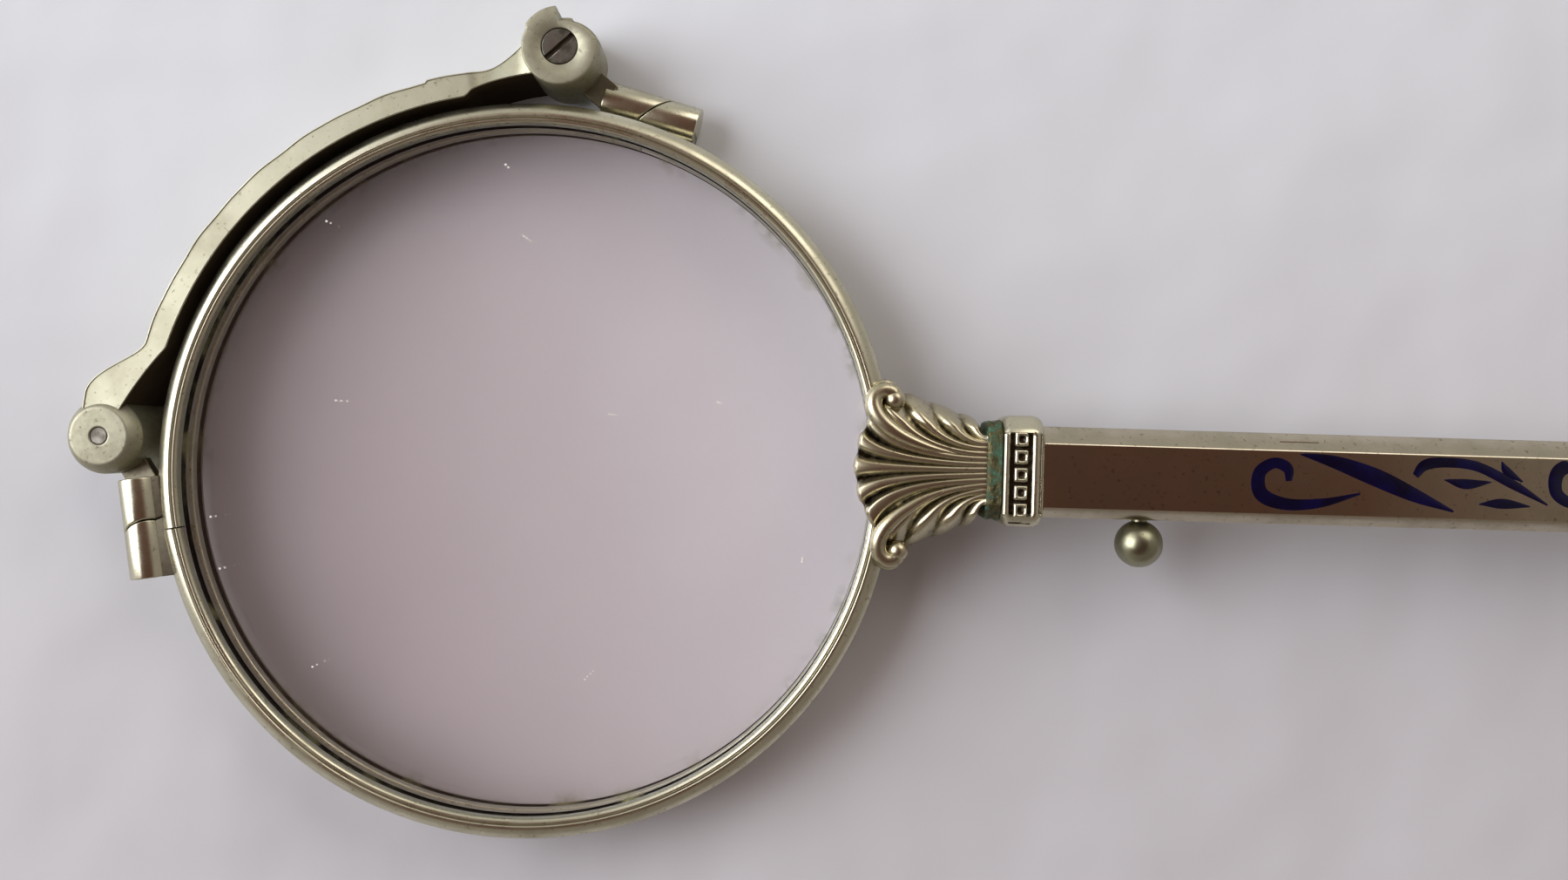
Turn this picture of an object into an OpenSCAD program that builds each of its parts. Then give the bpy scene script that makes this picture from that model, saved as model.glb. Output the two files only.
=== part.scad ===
// Folding lorgnette with a spring bridge, closed: two round rims stacked face to face,
// joined by a curved bridge bar with a screw hinge at each end, on a long enamelled handle.
// X runs along the handle away from the lenses, Y is up in the lens plane, Z is the lens axis.
// The wearer looks along Z, and the closed lorgnette lies on its back at Z = 0.

/* [Rims] */
// Outer diameter of each rim
rim_d = 38.8; // [34:0.1:46]
// Radial wall of the rim wire
rim_wall = 1.15; // [0.95:0.05:1.6]
// Depth of the rim wire along the lens axis
rim_t = 1.9; // [1.6:0.05:2.4]
// Free space between the two closed rims
rim_gap = 0.35; // [0.25:0.05:0.8]
// Height of the sloping front band above its outer edge
rim_slope = 0.5; // [0.2:0.05:0.7]
// Radial width of the bright inner lip
lip_w = 0.28; // [0.2:0.02:0.4]
// Width of the cut line between the lip and the band
line_w = 0.14; // [0.08:0.02:0.2]
// Depth of that cut line
line_depth = 0.12; // [0.05:0.01:0.2]

/* [Lenses] */
// Depth of the groove that holds the lens
groove_depth = 0.42; // [0.25:0.01:0.6]
// Thickness of the lens at its edge
lens_edge = 0.9; // [0.7:0.05:1.2]
// Height of the dome on each face of the lens
lens_dome = 0.3; // [0.1:0.05:0.4]
// Play of the lens in its groove
lens_clear = 0.03; // [0.01:0.01:0.06]

/* [Closing blocks] */
// Diameter of the split barrel that closes each rim
barrel_d = 2.2; // [1.8:0.1:2.6]
// Length of that barrel
barrel_len = 5.3; // [4.4:0.1:6.5]
// Length of the half that carries the hinge lug
near_len = 2.85; // [2.2:0.05:3.4]
// Width of the slit between the two halves
slit = 0.08; // [0.04:0.01:0.15]
// Slant of the slit across the barrel
slit_slant = 14; // [0:1:20]
// Diameter of the closing screw
block_screw_d = 0.76; // [0.6:0.02:1]
// Diameter of its head
block_head_d = 1.3; // [1.1:0.05:1.6]
// Height of its head
block_head_h = 0.5; // [0.3:0.05:0.7]

/* [Hinges] */
// Distance of each hinge axis outside the rim
pivot_out = 2.9; // [2.7:0.05:3.6]
// Direction of the bridge's middle, measured from the handle
fold_dir = 131.9; // [120:0.1:140]
// Angle between the two hinge axes, seen from the lens centre
pivot_span = 90; // [84:0.5:96]
// Travel of each hinge
swing = 90; // [60:1:90]
// Diameter of the hinge drums
drum_d = 4; // [3.6:0.1:4.2]
// Radius of the stop lobe on a drum
lobe_r = 2.14; // [2.05:0.01:2.2]
// Distance from a hinge axis to the barrel, along the rim
barrel_off = 2.1; // [2:0.05:2.6]
// Thickness of the lug
lug_t = 0.6; // [0.4:0.05:0.8]
// Width of the lug's arm
lug_w = 1.5; // [1.2:0.05:1.7]
// Diameter of the lug's eye
eye_d = 2.5; // [2.1:0.1:2.8]
// Play on each face of the lug
lug_clear = 0.04; // [0.02:0.01:0.08]
// Diameter of the hinge screws
pin_d = 0.92; // [0.7:0.02:1.1]
// Radial play of a lug on its screw
pin_clear = 0.03; // [0.02:0.01:0.06]
// Diameter of a hinge screw's head
head_d = 1.85; // [1.6:0.05:2.1]
// Height of a hinge screw's head
head_h = 0.55; // [0.4:0.05:0.7]
// Width of the screwdriver slots
slot_w = 0.26; // [0.15:0.01:0.35]
// Wire of the torsion springs
coil_wire = 0.2; // [0.12:0.01:0.24]
// Turns of a torsion spring
coil_turns = 3.5; // [2:0.5:4]

/* [Bridge] */
// Radial thickness of the bridge bar
bar_wall = 1.15; // [0.9:0.05:1.5]
// Free space between the rims and the bar
bar_gap = 0.47; // [0.35:0.01:0.7]
// How far the bar's flat faces lie below the drums' faces
bar_drop = 0.16; // [0.05:0.01:0.4]
// Angle over which the bar flares into a drum
flare_span = 11; // [8:0.5:14]

/* [Handle] */
// Height of the handle's axis above the lens centre
handle_off = 0.78; // [0:0.02:1.2]
// Width of the handle
handle_w = 4.7; // [4.2:0.1:6]
// Thickness of the handle
handle_t = 3.2; // [2.9:0.1:4]
// Chamfer along its four edges
handle_chamfer = 0.72; // [0.4:0.02:0.9]
// Wall of the handle tube
tube_wall = 0.42; // [0.35:0.01:0.5]
// Length of the tube that shows between collar and end cap
handle_len = 88; // [60:1:110]
// Depth of the enamel pockets
enamel_depth = 0.14; // [0.08:0.01:0.2]
// Number of enamel scrolls
scrolls = 8; // [3:1:10]
// Length that one enamel scroll takes
scroll_pitch = 8.6; // [7.5:0.1:9.5]
// Distance from the collar to the first scroll
scroll_start = 10.6; // [9:0.1:14]

/* [Palmette and collar] */
// Distance from the lens centre to the palmette's front edge
palmette_tip = 17.25; // [16.8:0.05:17.8]
// Distance from the lens centre to the palmette's root
palmette_root = 24; // [23.4:0.1:25]
// Half height of the palmette at its volutes
palmette_h = 4.85; // [4.2:0.05:5.4]
// Depth of the flutes between its lobes
flute = 0.42; // [0.2:0.02:0.5]
// Length of the neck moulding
neck_len = 0.75; // [0.5:0.05:1.2]
// Length of the beaded collar
collar_len = 2.15; // [1.8:0.05:3]
// How far the collar stands out at the handle's edges
collar_side = 0.53; // [0.3:0.01:0.7]
// How far it stands out at the handle's faces
collar_face = 0.3; // [0.2:0.01:0.4]
// Width of the bead row
bead_row = 0.8; // [0.6:0.05:1]
// Number of beads on each face
beads = 5; // [3:1:7]

/* [Catch] */
// Diameter of the ball knob
ball_d = 2.48; // [2:0.02:3]
// Distance from the collar to the ball at rest
ball_at = 5.4; // [5:0.1:7]
// Travel of the catch
catch_travel = 2; // [1.5:0.1:2.4]
// Thickness of the bolt's finger
finger_t = 0.5; // [0.4:0.05:0.6]
// Width of the bolt's finger
finger_w = 0.8; // [0.6:0.05:1]
// Diameter of the keeper stud
stud_d = 0.9; // [0.7:0.05:1]
// Play of the catch in its guides
catch_clear = 0.06; // [0.03:0.01:0.08]
// Wire of the catch spring
spring_wire = 0.25; // [0.15:0.01:0.3]
// Length of the catch spring at rest
spring_len = 4.4; // [4:0.1:6]

/* [End] */
// Length of the end cap
cap_len = 2.2; // [1.6:0.1:3.5]
// Mean radius of the suspension ring
ring_r = 4; // [3.6:0.1:5]
// Wire of the suspension ring
ring_wire = 1; // [0.8:0.05:1.2]

/* [Hidden] */
$fn = 96;
eps = 0.01;

// Heights of the two rims and of the turning axis that maps one on the other
rim_r = rim_d / 2;
barrel_r = barrel_d / 2;
foot = 0.05;
z_rear = barrel_r + foot;
z_front = z_rear + rim_t + rim_gap;
z_turn = (z_rear + z_front) / 2;
hinge_h = 2 * z_turn;
rim_front = z_front + rim_t / 2;
z_back = z_rear + rim_t / 2 + 0.25;

// Hinge at the handle's rim, the other one is its half turn
pivot_r = rim_r + pivot_out;
pivot_a = fold_dir + pivot_span / 2;
barrel_cr = rim_r + barrel_r;
split_a = asin((barrel_off + near_len) / barrel_cr);
lug_z = z_front - barrel_r + 0.1;
lug_dir = atan2(barrel_off, barrel_cr - pivot_r);
lug_reach = norm([barrel_off, barrel_cr - pivot_r]);
notch_r = 1.36;
notch_h = 0.7;
notch_span = 55;
head_play = 0.04;
cavity_z = head_h + 0.5;

// Handle levels and places along X
handle_z = z_back + collar_face + handle_t / 2;
collar_x = palmette_root + neck_len;
handle_x = collar_x + collar_len;
cap_x = handle_x + handle_len;
inner_w = handle_w - 2 * tube_wall;
inner_t = handle_t - 2 * tube_wall;
inner_z = handle_z - inner_t / 2;
stud_x = rim_r + 1.1;
lug_top = z_rear + rim_t / 2;
finger_z = inner_z + catch_clear;
finger_y = stud_d / 2 + 0.15;
groove_w = stud_d + 0.4;
ball_x = handle_x + ball_at;
bolt_front = ball_x - 2.6;
bolt_len = 5;
stop_x = bolt_front + bolt_len + spring_len;
stem_r = 0.4;
eye_x = cap_x + cap_len + 1.25;
eye_r = 1.1;
ring_dip = asin((handle_z - ring_wire / 2 - 0.05) / (2 * ring_r));

// Corners of the closed lorgnette, which put the origin under its middle
hinge_a = pivot_r * [cos(pivot_a), sin(pivot_a)];
hinge_b = pivot_r * [cos(pivot_a - pivot_span), sin(pivot_a - pivot_span)];
exit_a = atan2(handle_off - hinge_a.y, stud_x - hinge_a.x) + 90;
exit_b = atan2(handle_off - hinge_b.y, stud_x - hinge_b.x) + 90;
x_low = hinge_a.x - lobe_r;
x_high = eye_x + 2 * ring_r * cos(ring_dip) + ring_wire / 2;
y_low = -rim_r;
y_high = hinge_b.y + lobe_r;
origin_x = (x_low + x_high) / 2;
origin_y = (y_low + y_high) / 2;

// Moves from the lens centre to the part's own origin
module placed() {
    translate([-origin_x, -origin_y, 0]) children();
}

// Half turn about the line through the lens centre and the bridge's middle
module turned() {
    translate([0, 0, z_turn]) rotate(fold_dir) rotate([180, 0, 0]) rotate(-fold_dir)
        translate([0, 0, -z_turn]) children();
}

// Frame of the hinge at the handle's rim: X outwards, Y along the rim towards the barrel
module at_hinge() {
    rotate(pivot_a) translate([pivot_r, 0, 0]) children();
}

// Frame of the barrel: X outwards, Z towards its near end, origin at that end
module at_barrel() {
    rotate(pivot_a) translate([barrel_cr, barrel_off, z_front]) rotate([90, 0, 0]) children();
}

// Pie slice from angle a1 to a2, out to radius r
module slice(r, a1, a2, h) {
    rotate(a1) rotate_extrude(angle = a2 - a1) square([r, h]);
}

// Section of the rim wire, centred on its height
module rim_section() {
    inner = rim_r - rim_wall;
    half = rim_t / 2;
    v = groove_depth;
    band = inner + lip_w + line_w;
    rise = [for (i = [0:5]) let (s = i / 5)
        [rim_r - (rim_r - band) * s, half - rim_slope * pow(1 - s, 2)]];
    polygon(concat(
        [[inner, -half], [rim_r - 0.1, -half], [rim_r, 0.1 - half]],
        rise,
        [[inner + lip_w + line_w / 2, half - line_depth], [inner + lip_w, half]],
        [[inner + 0.08, half], [inner, half - 0.1]],
        [[inner, v], [inner + v, 0.05], [inner + v, -0.05], [inner, -v]]));
}

module rim_wire() {
    gap = slit / rim_r * 180 / PI;
    translate([0, 0, z_front]) rotate(pivot_a + split_a + gap / 2)
        rotate_extrude(angle = 360 - gap, $fn = 180) rim_section();
}

// Glass disc: a cylinder with a bevelled edge and two shallow domes
module lens_disc() {
    inner = rim_r - rim_wall;
    edge_r = inner + groove_depth - lens_clear;
    steps = 8;
    dome = [for (i = [0:steps]) let (s = i / steps)
        [inner * s, lens_edge / 2 + lens_dome * (1 - s * s)]];
    back = [for (i = [steps:-1:0]) let (s = i / steps)
        [inner * s, -lens_edge / 2 - lens_dome * (1 - s * s)]];
    bevel = groove_depth - lens_clear;
    translate([0, 0, z_front]) rotate_extrude($fn = 180) polygon(concat(
        dome, [[edge_r - bevel + 0.02, bevel], [edge_r, 0.02]],
        [[edge_r, -0.02], [edge_r - bevel + 0.02, -bevel]], back));
}

// Whole barrel with the seat that is soldered to the rim
module barrel_body() {
    seat_h = barrel_d * 0.6;
    far = barrel_off + barrel_len;
    reach = barrel_cr - sqrt(rim_r * rim_r - far * far) + 0.05;
    difference() {
        union() {
            at_barrel() translate([0, 0, -barrel_len]) cylinder(r = barrel_r, h = barrel_len);
            at_barrel() translate([-reach, -seat_h / 2, -barrel_len])
                cube([reach, seat_h, barrel_len]);
        }
        cylinder(r = rim_r, h = 2 * z_front);
    }
}

// Half space on the near side of the slanted slit, moved by half the slit
module near_side(shift) {
    at_barrel() translate([0, 0, -near_len + shift]) rotate([0, slit_slant, 0])
        translate([-20, -20, 0]) cube([40, 40, 40]);
}

module block_hole(r, from, to) {
    at_barrel() translate([0, 0, -to]) cylinder(r = r, h = to - from);
}

module block_near() {
    tap = 1;
    difference() {
        union() {
            intersection() {
                barrel_body();
                near_side(slit / 2);
            }
            lug();
        }
        block_hole(block_screw_d / 2, tap, barrel_len + 1);
    }
}

module block_far() {
    difference() {
        barrel_body();
        near_side(-slit / 2);
        block_hole(block_screw_d / 2 + 0.02, 0, barrel_len + 1);
        block_hole(block_head_d / 2 + 0.02, barrel_len - block_head_h - 0.05, barrel_len + 1);
    }
}

module block_screw() {
    seat = barrel_len - block_head_h - 0.05;
    difference() {
        union() {
            block_hole(block_screw_d / 2, 1.1, seat + eps);
            block_hole(block_head_d / 2, seat, seat + block_head_h);
        }
        at_barrel() translate([-1, -slot_w / 2, -barrel_len - 1]) cube([2, slot_w, 1.25]);
    }
}

// Flat lug that turns on the hinge screw
module lug() {
    at_hinge() translate([0, 0, lug_z]) difference() {
        union() {
            cylinder(d = eye_d, h = lug_t);
            rotate(lug_dir) translate([0, -lug_w / 2, 0]) cube([lug_reach + 0.35, lug_w, lug_t]);
        }
        translate([0, 0, -1]) cylinder(r = pin_d / 2 + pin_clear, h = lug_t + 2);
    }
}

// Space that the lug sweeps inside its drum
module lug_sweep() {
    side = lug_w / 2 + 0.05;
    reach = drum_d;
    h = lug_t + 2 * lug_clear;
    translate([0, 0, lug_z - lug_clear]) {
        cylinder(r = eye_d / 2 + 0.08, h = h);
        for (a = [lug_dir, lug_dir - swing])
            rotate(a) translate([0, -side, 0]) cube([reach, 2 * side, h]);
        slice(reach, lug_dir - swing, lug_dir, h);
    }
}

// Drum of the bridge at the handle's rim: chamfered in front, lobed and slotted screw behind
module drum_body() {
    r = drum_d / 2;
    face = 1.5;
    slope = 0.7;
    lobe_from = -65;
    lobe_to = lug_dir - swing - 31;
    cylinder(r = r, h = hinge_h - slope);
    translate([0, 0, hinge_h - slope]) cylinder(r1 = r, r2 = face, h = slope);
    slice(lobe_r, lobe_from, lobe_to, hinge_h / 2);
}

module drum_cuts() {
    notch_from = lug_dir - swing - 30;
    lug_sweep();
    translate([0, 0, -1]) cylinder(r = pin_d / 2 + 0.015, h = hinge_h + 2);
    translate([0, 0, -1]) cylinder(r = head_d / 2 + head_play, h = head_h + head_play + 1);
    translate([0, 0, cavity_z]) cylinder(r = notch_r - 0.06, h = lug_z - cavity_z);
    translate([0, 0, -1]) difference() {
        slice(drum_d, notch_from, notch_from + notch_span, notch_h + 1);
        translate([0, 0, -1]) cylinder(r = notch_r, h = notch_h + 3);
    }
}

// Flare between the bar and a drum, drawn in polar steps back from the hinge axis.
// Hand filing left the two ends unlike: a soft early swell at the handle's hinge, a late one beyond
module flare(soft) {
    r_in = rim_r + bar_gap;
    r_out = r_in + bar_wall;
    last = 3.2;
    steps = 8;
    swell = pivot_out - bar_gap - bar_wall + 1.1;
    function ease(s) = s * s * (3 - 2 * s);
    function out_r(s) = r_out + swell * (soft ? ease(min(1, s / 0.8)) : pow(s, 2.4));
    function in_r(s) = r_in + (soft ? 1.7 * s : pow(s, 0.6));
    function spot(r, s) = let (a = pivot_a - flare_span - last + flare_span * s) r * [cos(a), sin(a)];
    top = [for (i = [0:steps]) spot(out_r(i / steps), i / steps)];
    low = [for (i = [steps:-1:0]) spot(in_r(i / steps), i / steps)];
    translate([0, 0, bar_drop]) linear_extrude(hinge_h - 2 * bar_drop) polygon(concat(top, low));
}

module bridge_half(soft) {
    at_hinge() drum_body();
    flare(soft);
}

module bridge() {
    r_in = rim_r + bar_gap;
    end = pivot_span / 2 - flare_span - 2.4;
    difference() {
        union() {
            bridge_half(true);
            turned() bridge_half(false);
            rotate(fold_dir - end) rotate_extrude(angle = 2 * end, $fn = 180)
                translate([r_in, bar_drop]) square([bar_wall, hinge_h - 2 * bar_drop]);
        }
        at_hinge() drum_cuts();
        turned() at_hinge() drum_cuts();
    }
}

module hinge_screw() {
    seat = head_h + head_play;
    slot_dir = 55;
    slot_depth = 0.24;
    at_hinge() difference() {
        union() {
            translate([0, 0, seat - eps]) cylinder(d = pin_d, h = hinge_h - seat - 0.03);
            translate([0, 0, head_play]) cylinder(d = head_d, h = head_h);
        }
        rotate(slot_dir) translate([-head_d, -slot_w / 2, -1])
            cube([2 * head_d, slot_w, 1 + head_play + slot_depth]);
    }
}

// Unbroken round wire along a coil with its axis on Z
module coil(r, wire, turns, length, sides = 6, rings = 12) {
    n = round(turns * rings);
    function ring_at(i) = let (a = 360 * turns * i / n)
        [for (k = [0:sides - 1]) let (b = 360 * k / sides, q = r + wire / 2 * cos(b))
            [q * cos(a), q * sin(a), length * i / n + wire / 2 * sin(b)]];
    points = [for (i = [0:n]) each ring_at(i)];
    skin = [for (i = [0:n - 1]) for (k = [0:sides - 1]) let (m = (k + 1) % sides)
        each [[i * sides + k, i * sides + m, (i + 1) * sides + m],
              [i * sides + k, (i + 1) * sides + m, (i + 1) * sides + k]]];
    start = [for (k = [1:sides - 2]) [0, k + 1, k]];
    last = n * sides;
    finish = [for (k = [1:sides - 2]) [last, last + k, last + k + 1]];
    polyhedron(points, concat(skin, start, finish));
}

module hinge_spring() {
    play = 0.06;
    mean_r = 0.9;
    room = lug_z - cavity_z - 2 * play;
    at_hinge() translate([0, 0, cavity_z + play + coil_wire / 2])
        coil(mean_r, coil_wire, coil_turns, room - coil_wire);
}

// Chamfered rectangle about the handle's axis
module handle_outline(w, t, c) {
    polygon([
        [c - w / 2, -t / 2], [w / 2 - c, -t / 2], [w / 2, c - t / 2], [w / 2, t / 2 - c],
        [w / 2 - c, t / 2], [c - w / 2, t / 2], [-w / 2, t / 2 - c], [-w / 2, c - t / 2]]);
}

module along_handle(x, len) {
    translate([x, handle_off, handle_z]) rotate([90, 0, 90]) linear_extrude(len) children();
}

module handle_box(x, len, y_low, y_high, z_low, z_high) {
    translate([x, handle_off + y_low, z_low]) cube([len, y_high - y_low, z_high - z_low]);
}

// Room inside neck, collar and tube
module handle_bore(x, len) {
    handle_box(x, len, -inner_w / 2, inner_w / 2, inner_z, inner_z + inner_t);
}

// Flow lines of the palmette: from the root along the handle's axis, bending out to the tips.
// u is 0 on the middle lobe and 6.5 at the side, and tip() is the outline without scallops.
// The casting isn't even: its lower side hangs a little lower and further back
lobes = 6;
upper_tips = [
    [palmette_tip, 0], [palmette_tip + 0.25, 1.5], [palmette_tip + 0.75, 2.55],
    [palmette_tip + 1.45, palmette_h - 0.9], [palmette_root - 3.75, palmette_h - 1],
    [palmette_root - 2.1, palmette_h - 1.55], [palmette_root - 0.65, palmette_h - 2.1],
    [palmette_root - 0.1, palmette_h - 2.35]];
lower_tips = [
    [palmette_tip, 0], [palmette_tip + 0.27, 1.55], [palmette_tip + 0.8, 2.65],
    [palmette_tip + 1.85, palmette_h - 0.4], [palmette_root - 3.4, palmette_h - 0.8],
    [palmette_root - 1.85, palmette_h - 1.4], [palmette_root - 0.55, palmette_h - 1.95],
    [palmette_root - 0.1, palmette_h - 2.25]];
function mix(a, b, s) = a + (b - a) * s;
function tip(u) = let (w = abs(u), k = min(floor(w), lobes), tips = u < 0 ? lower_tips : upper_tips)
    mix(tips[k], tips[k + 1], w - k);
function bend(a, b, c, s) = (1 - s) * (1 - s) * a + 2 * s * (1 - s) * b + s * s * c;
function scallop(w) = let (t = w - round(w)) 1 - 4 * t * t;
function flow(u, v) =
    let (w = abs(u), side = u < 0 ? -1 : 1)
    let (root = [palmette_root, 0.14 * w], edge = tip(u))
    let (out = (edge - root) / norm(edge - root) * 0.2 * (scallop(w) - 0.5))
    let (turn = [mix(root.x, edge.x, 0.85), mix(root.y, edge.y, 0.1)])
    let (p = bend(root, turn, edge + out, v))
    [p.x, side * p.y];
function relief(u, v) =
    let (w = abs(u), roll = pow(v, 4), crest = scallop(w))
    let (low = w < 2.6 ? 0.55 : 1.55)
    handle_z + handle_t / 2 - 0.12 - 0.35 * v - low * roll
        - flute * (1 - crest) * min(1, 0.35 + 1.2 * v) * (1 - 0.5 * roll);

module palmette_skin() {
    rows = 9;
    cols = 4 * (2 * lobes + 1);
    top = [for (j = [0:rows]) for (i = [0:cols])
        let (u = (i / cols - 0.5) * (2 * lobes + 1), v = j / rows, p = flow(u, v))
        [p.x, p.y, relief(u, v)]];
    under = [for (p = top) [p.x, p.y, z_back]];
    n = cols + 1;
    all = n * (rows + 1);
    function quad(a, b, c, d) = [[c, b, a], [d, c, a]];
    upper = [for (j = [0:rows - 1]) for (i = [0:cols - 1]) let (a = j * n + i)
        each quad(a, a + 1, a + n + 1, a + n)];
    lower = [for (j = [0:rows - 1]) for (i = [0:cols - 1]) let (a = all + j * n + i)
        each quad(a + n, a + n + 1, a + 1, a)];
    far = [for (i = [0:cols - 1]) let (a = rows * n + i) each quad(a, a + 1, all + a + 1, all + a)];
    near = [for (i = [0:cols - 1]) each quad(i + 1, i, all + i, all + i + 1)];
    left = [for (j = [0:rows - 1]) let (a = j * n) each quad(a, a + n, all + a + n, all + a)];
    right = [for (j = [0:rows - 1]) let (a = j * n + cols)
        each quad(a + n, a, all + a, all + a + n)];
    translate([0, handle_off, 0])
        polyhedron(concat(top, under), concat(upper, lower, far, near, left, right));
}

// Scroll that ends the third lobe on each side
module volute(side) {
    top = handle_z + handle_t / 2 - 0.95;
    turn_r = 0.5;
    wire = 0.62;
    eye = side > 0 ? [palmette_tip + 1.9, palmette_h - 0.98] : [palmette_tip + 2.2, palmette_h - 0.4];
    translate([eye.x, handle_off + side * eye.y, 0]) {
        translate([0, 0, z_back]) cylinder(r = turn_r + wire / 2 - 0.02, h = top - z_back);
        translate([0, 0, top]) rotate(side > 0 ? -60 : 180 - 60)
            rotate_extrude(angle = 240, $fn = 48) translate([turn_r, 0]) circle(d = wire, $fn = 24);
        translate([0.12, -side * 0.1, top]) sphere(r = 0.36, $fn = 32);
    }
}

// Room that the keeper stud sweeps as either hinge opens
module stud_sweep() {
    h = finger_z + finger_t + catch_clear + 1 - z_back;
    reach = palmette_h + 3;
    translate([stud_x, handle_off, z_back - 1]) {
        cylinder(d = groove_w, h = h);
        for (a = [exit_b, exit_a + 3]) rotate(a) translate([0, -groove_w / 2, 0])
            cube([reach, groove_w, h]);
        slice(reach, exit_b, exit_a + 3, h);
    }
}

module palmette_body() {
    tang_z = finger_z + finger_t + catch_clear;
    difference() {
        union() {
            palmette_skin();
            volute(1);
            volute(-1);
            handle_box(palmette_root - 0.5, 5.2, -inner_w / 2, inner_w / 2, tang_z, inner_z + inner_t);
        }
        translate([0, 0, -1]) cylinder(r = rim_r, h = rim_front + 1);
        stud_sweep();
        handle_box(palmette_root - 4.2, 4.3, finger_y - catch_clear,
            finger_y + finger_w + catch_clear, finger_z - catch_clear, tang_z);
    }
}

module neck() {
    difference() {
        hull() {
            along_handle(palmette_root, 0.1) handle_outline(handle_w + 0.3, handle_t + 0.25, handle_chamfer);
            along_handle(collar_x - 0.2, 0.2)
                handle_outline(handle_w + 2 * collar_side - 0.25, handle_t + 0.5, handle_chamfer);
        }
        handle_bore(palmette_root - 1, neck_len + 2);
    }
}

module collar() {
    w = handle_w + 2 * collar_side;
    t = handle_t + 2 * collar_face;
    land = (collar_len - bead_row) / 2;
    flat = handle_w - 2 * handle_chamfer + 0.5;
    depth = 0.28;
    step = flat / beads;
    difference() {
        along_handle(collar_x, collar_len) handle_outline(w, t, handle_chamfer + 0.25);
        handle_bore(collar_x - 1, collar_len + 2);
        for (s = [-1, 1]) translate([collar_x + land, handle_off - flat / 2,
            handle_z + s * t / 2 - depth]) cube([bead_row, flat, 2 * depth]);
    }
    for (s = [-1, 1]) for (i = [0:beads - 1])
        translate([collar_x + collar_len / 2, handle_off + (i + 0.5) * step - flat / 2,
            handle_z + s * (t / 2 - depth)])
            intersection() {
                sphere(r = 0.38, $fn = 32);
                cube([0.62, 0.62, 0.56], center = true);
            }
}

// Tapered stroke: a smooth curve through a few spots, with a half width at each
function curve(p, s) =
    let (last = len(p) - 1, k = min(floor(s * last), last - 1), t = s * last - k)
    let (a = p[max(k - 1, 0)], b = p[k], c = p[k + 1], d = p[min(k + 2, last)])
    0.5 * (2 * b + (c - a) * t + (2 * a - 5 * b + 4 * c - d) * t * t
        + (3 * b - a - 3 * c + d) * t * t * t);
module stroke(spots, n) {
    unit = scroll_pitch / drawn_pitch;
    line = [for (i = [0:n]) curve(spots, i / n) * unit];
    side = [for (i = [0:n])
        let (d = line[min(i + 1, n)] - line[max(i - 1, 0)], q = [-d.y, d.x] / norm([d.x, d.y]))
        q * line[i].z];
    flat = [for (p = line) [p.x, p.y]];
    polygon(concat([for (i = [0:n]) flat[i] + side[i]], [for (i = [n:-1:0]) flat[i] - side[i]]));
}

// One enamel scroll: hook, long blade and two small leaves, drawn at a pitch of 8.6
drawn_pitch = 8.6;
module scroll_unit() {
    hook = [[1.95, -0.1, 0.14], [1.85, 0.5, 0.24], [1.2, 0.72, 0.25], [0.45, 0.2, 0.3],
        [0.6, -0.75, 0.33], [1.8, -1.24, 0.27], [3.6, -1.16, 0.2], [5.6, -0.65, 0.05]];
    blade = [[2.6, 1.08, 0.05], [4.2, 0.85, 0.3], [6.2, 0.1, 0.42], [8, -0.75, 0.28], [9.8, -1.3, 0.06]];
    leaf_low = [[9.7, 0.62, 0.05], [10.5, 0.25, 0.28], [11.6, 0.2, 0.05]];
    leaf_tip = [[8.1, 0.9, 0.05], [8.3, 0.45, 0.2], [8.4, 0.1, 0.06]];
    stroke(hook, 22);
    stroke(blade, 12);
    stroke(leaf_low, 7);
    stroke(leaf_tip, 5);
}

module enamel(depth) {
    half = handle_w / 2 - handle_chamfer;
    translate([handle_x + scroll_start, handle_off, handle_z + handle_t / 2 - enamel_depth])
        linear_extrude(depth) intersection() {
            translate([0, -half + 0.05]) square([scrolls * scroll_pitch, 2 * half - 0.1]);
            for (i = [0:scrolls - 1]) translate([i * scroll_pitch, 0])
                mirror([0, i % 2, 0]) scroll_unit();
        }
}

module tube() {
    slot_r = stem_r + 0.1;
    difference() {
        along_handle(handle_x, handle_len) handle_outline(handle_w, handle_t, handle_chamfer);
        handle_bore(handle_x - 1, handle_len + 2);
        enamel(enamel_depth + 1);
        for (x = [0, catch_travel]) translate([ball_x + x, handle_off, handle_z])
            rotate([90, 0, 0]) cylinder(r = slot_r, h = handle_w);
        handle_box(ball_x, catch_travel, -handle_w, 0, handle_z - slot_r, handle_z + slot_r);
    }
}

module bolt() {
    tail = inner_w / 2 - catch_clear;
    z_low = inner_z + catch_clear;
    z_high = inner_z + inner_t - catch_clear;
    nose = stud_x - 0.3;
    difference() {
        union() {
            handle_box(bolt_front, bolt_len, -tail, tail, z_low, z_high);
            handle_box(nose, bolt_front - nose + 0.5, finger_y, finger_y + finger_w,
                finger_z, finger_z + finger_t);
        }
        translate([ball_x, handle_off, handle_z]) rotate([90, 0, 0])
            cylinder(r = stem_r, h = handle_w);
    }
}

module ball() {
    ball_y = handle_w / 2 + ball_d / 2 + 0.06;
    translate([ball_x, handle_off, handle_z]) rotate([90, 0, 0]) {
        cylinder(r = stem_r, h = ball_y);
        translate([0, 0, ball_y]) sphere(d = ball_d, $fn = 64);
    }
}

module push_spring() {
    play = 0.03;
    mean_r = 0.72;
    turns = 7;
    x = bolt_front + bolt_len + spring_wire / 2 + play;
    translate([x, handle_off, handle_z]) rotate([0, 90, 0])
        coil(mean_r, spring_wire, turns, spring_len - spring_wire - 2 * play);
}

module stop_block() {
    stop_len = 2;
    handle_bore(stop_x, stop_len);
}

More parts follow.
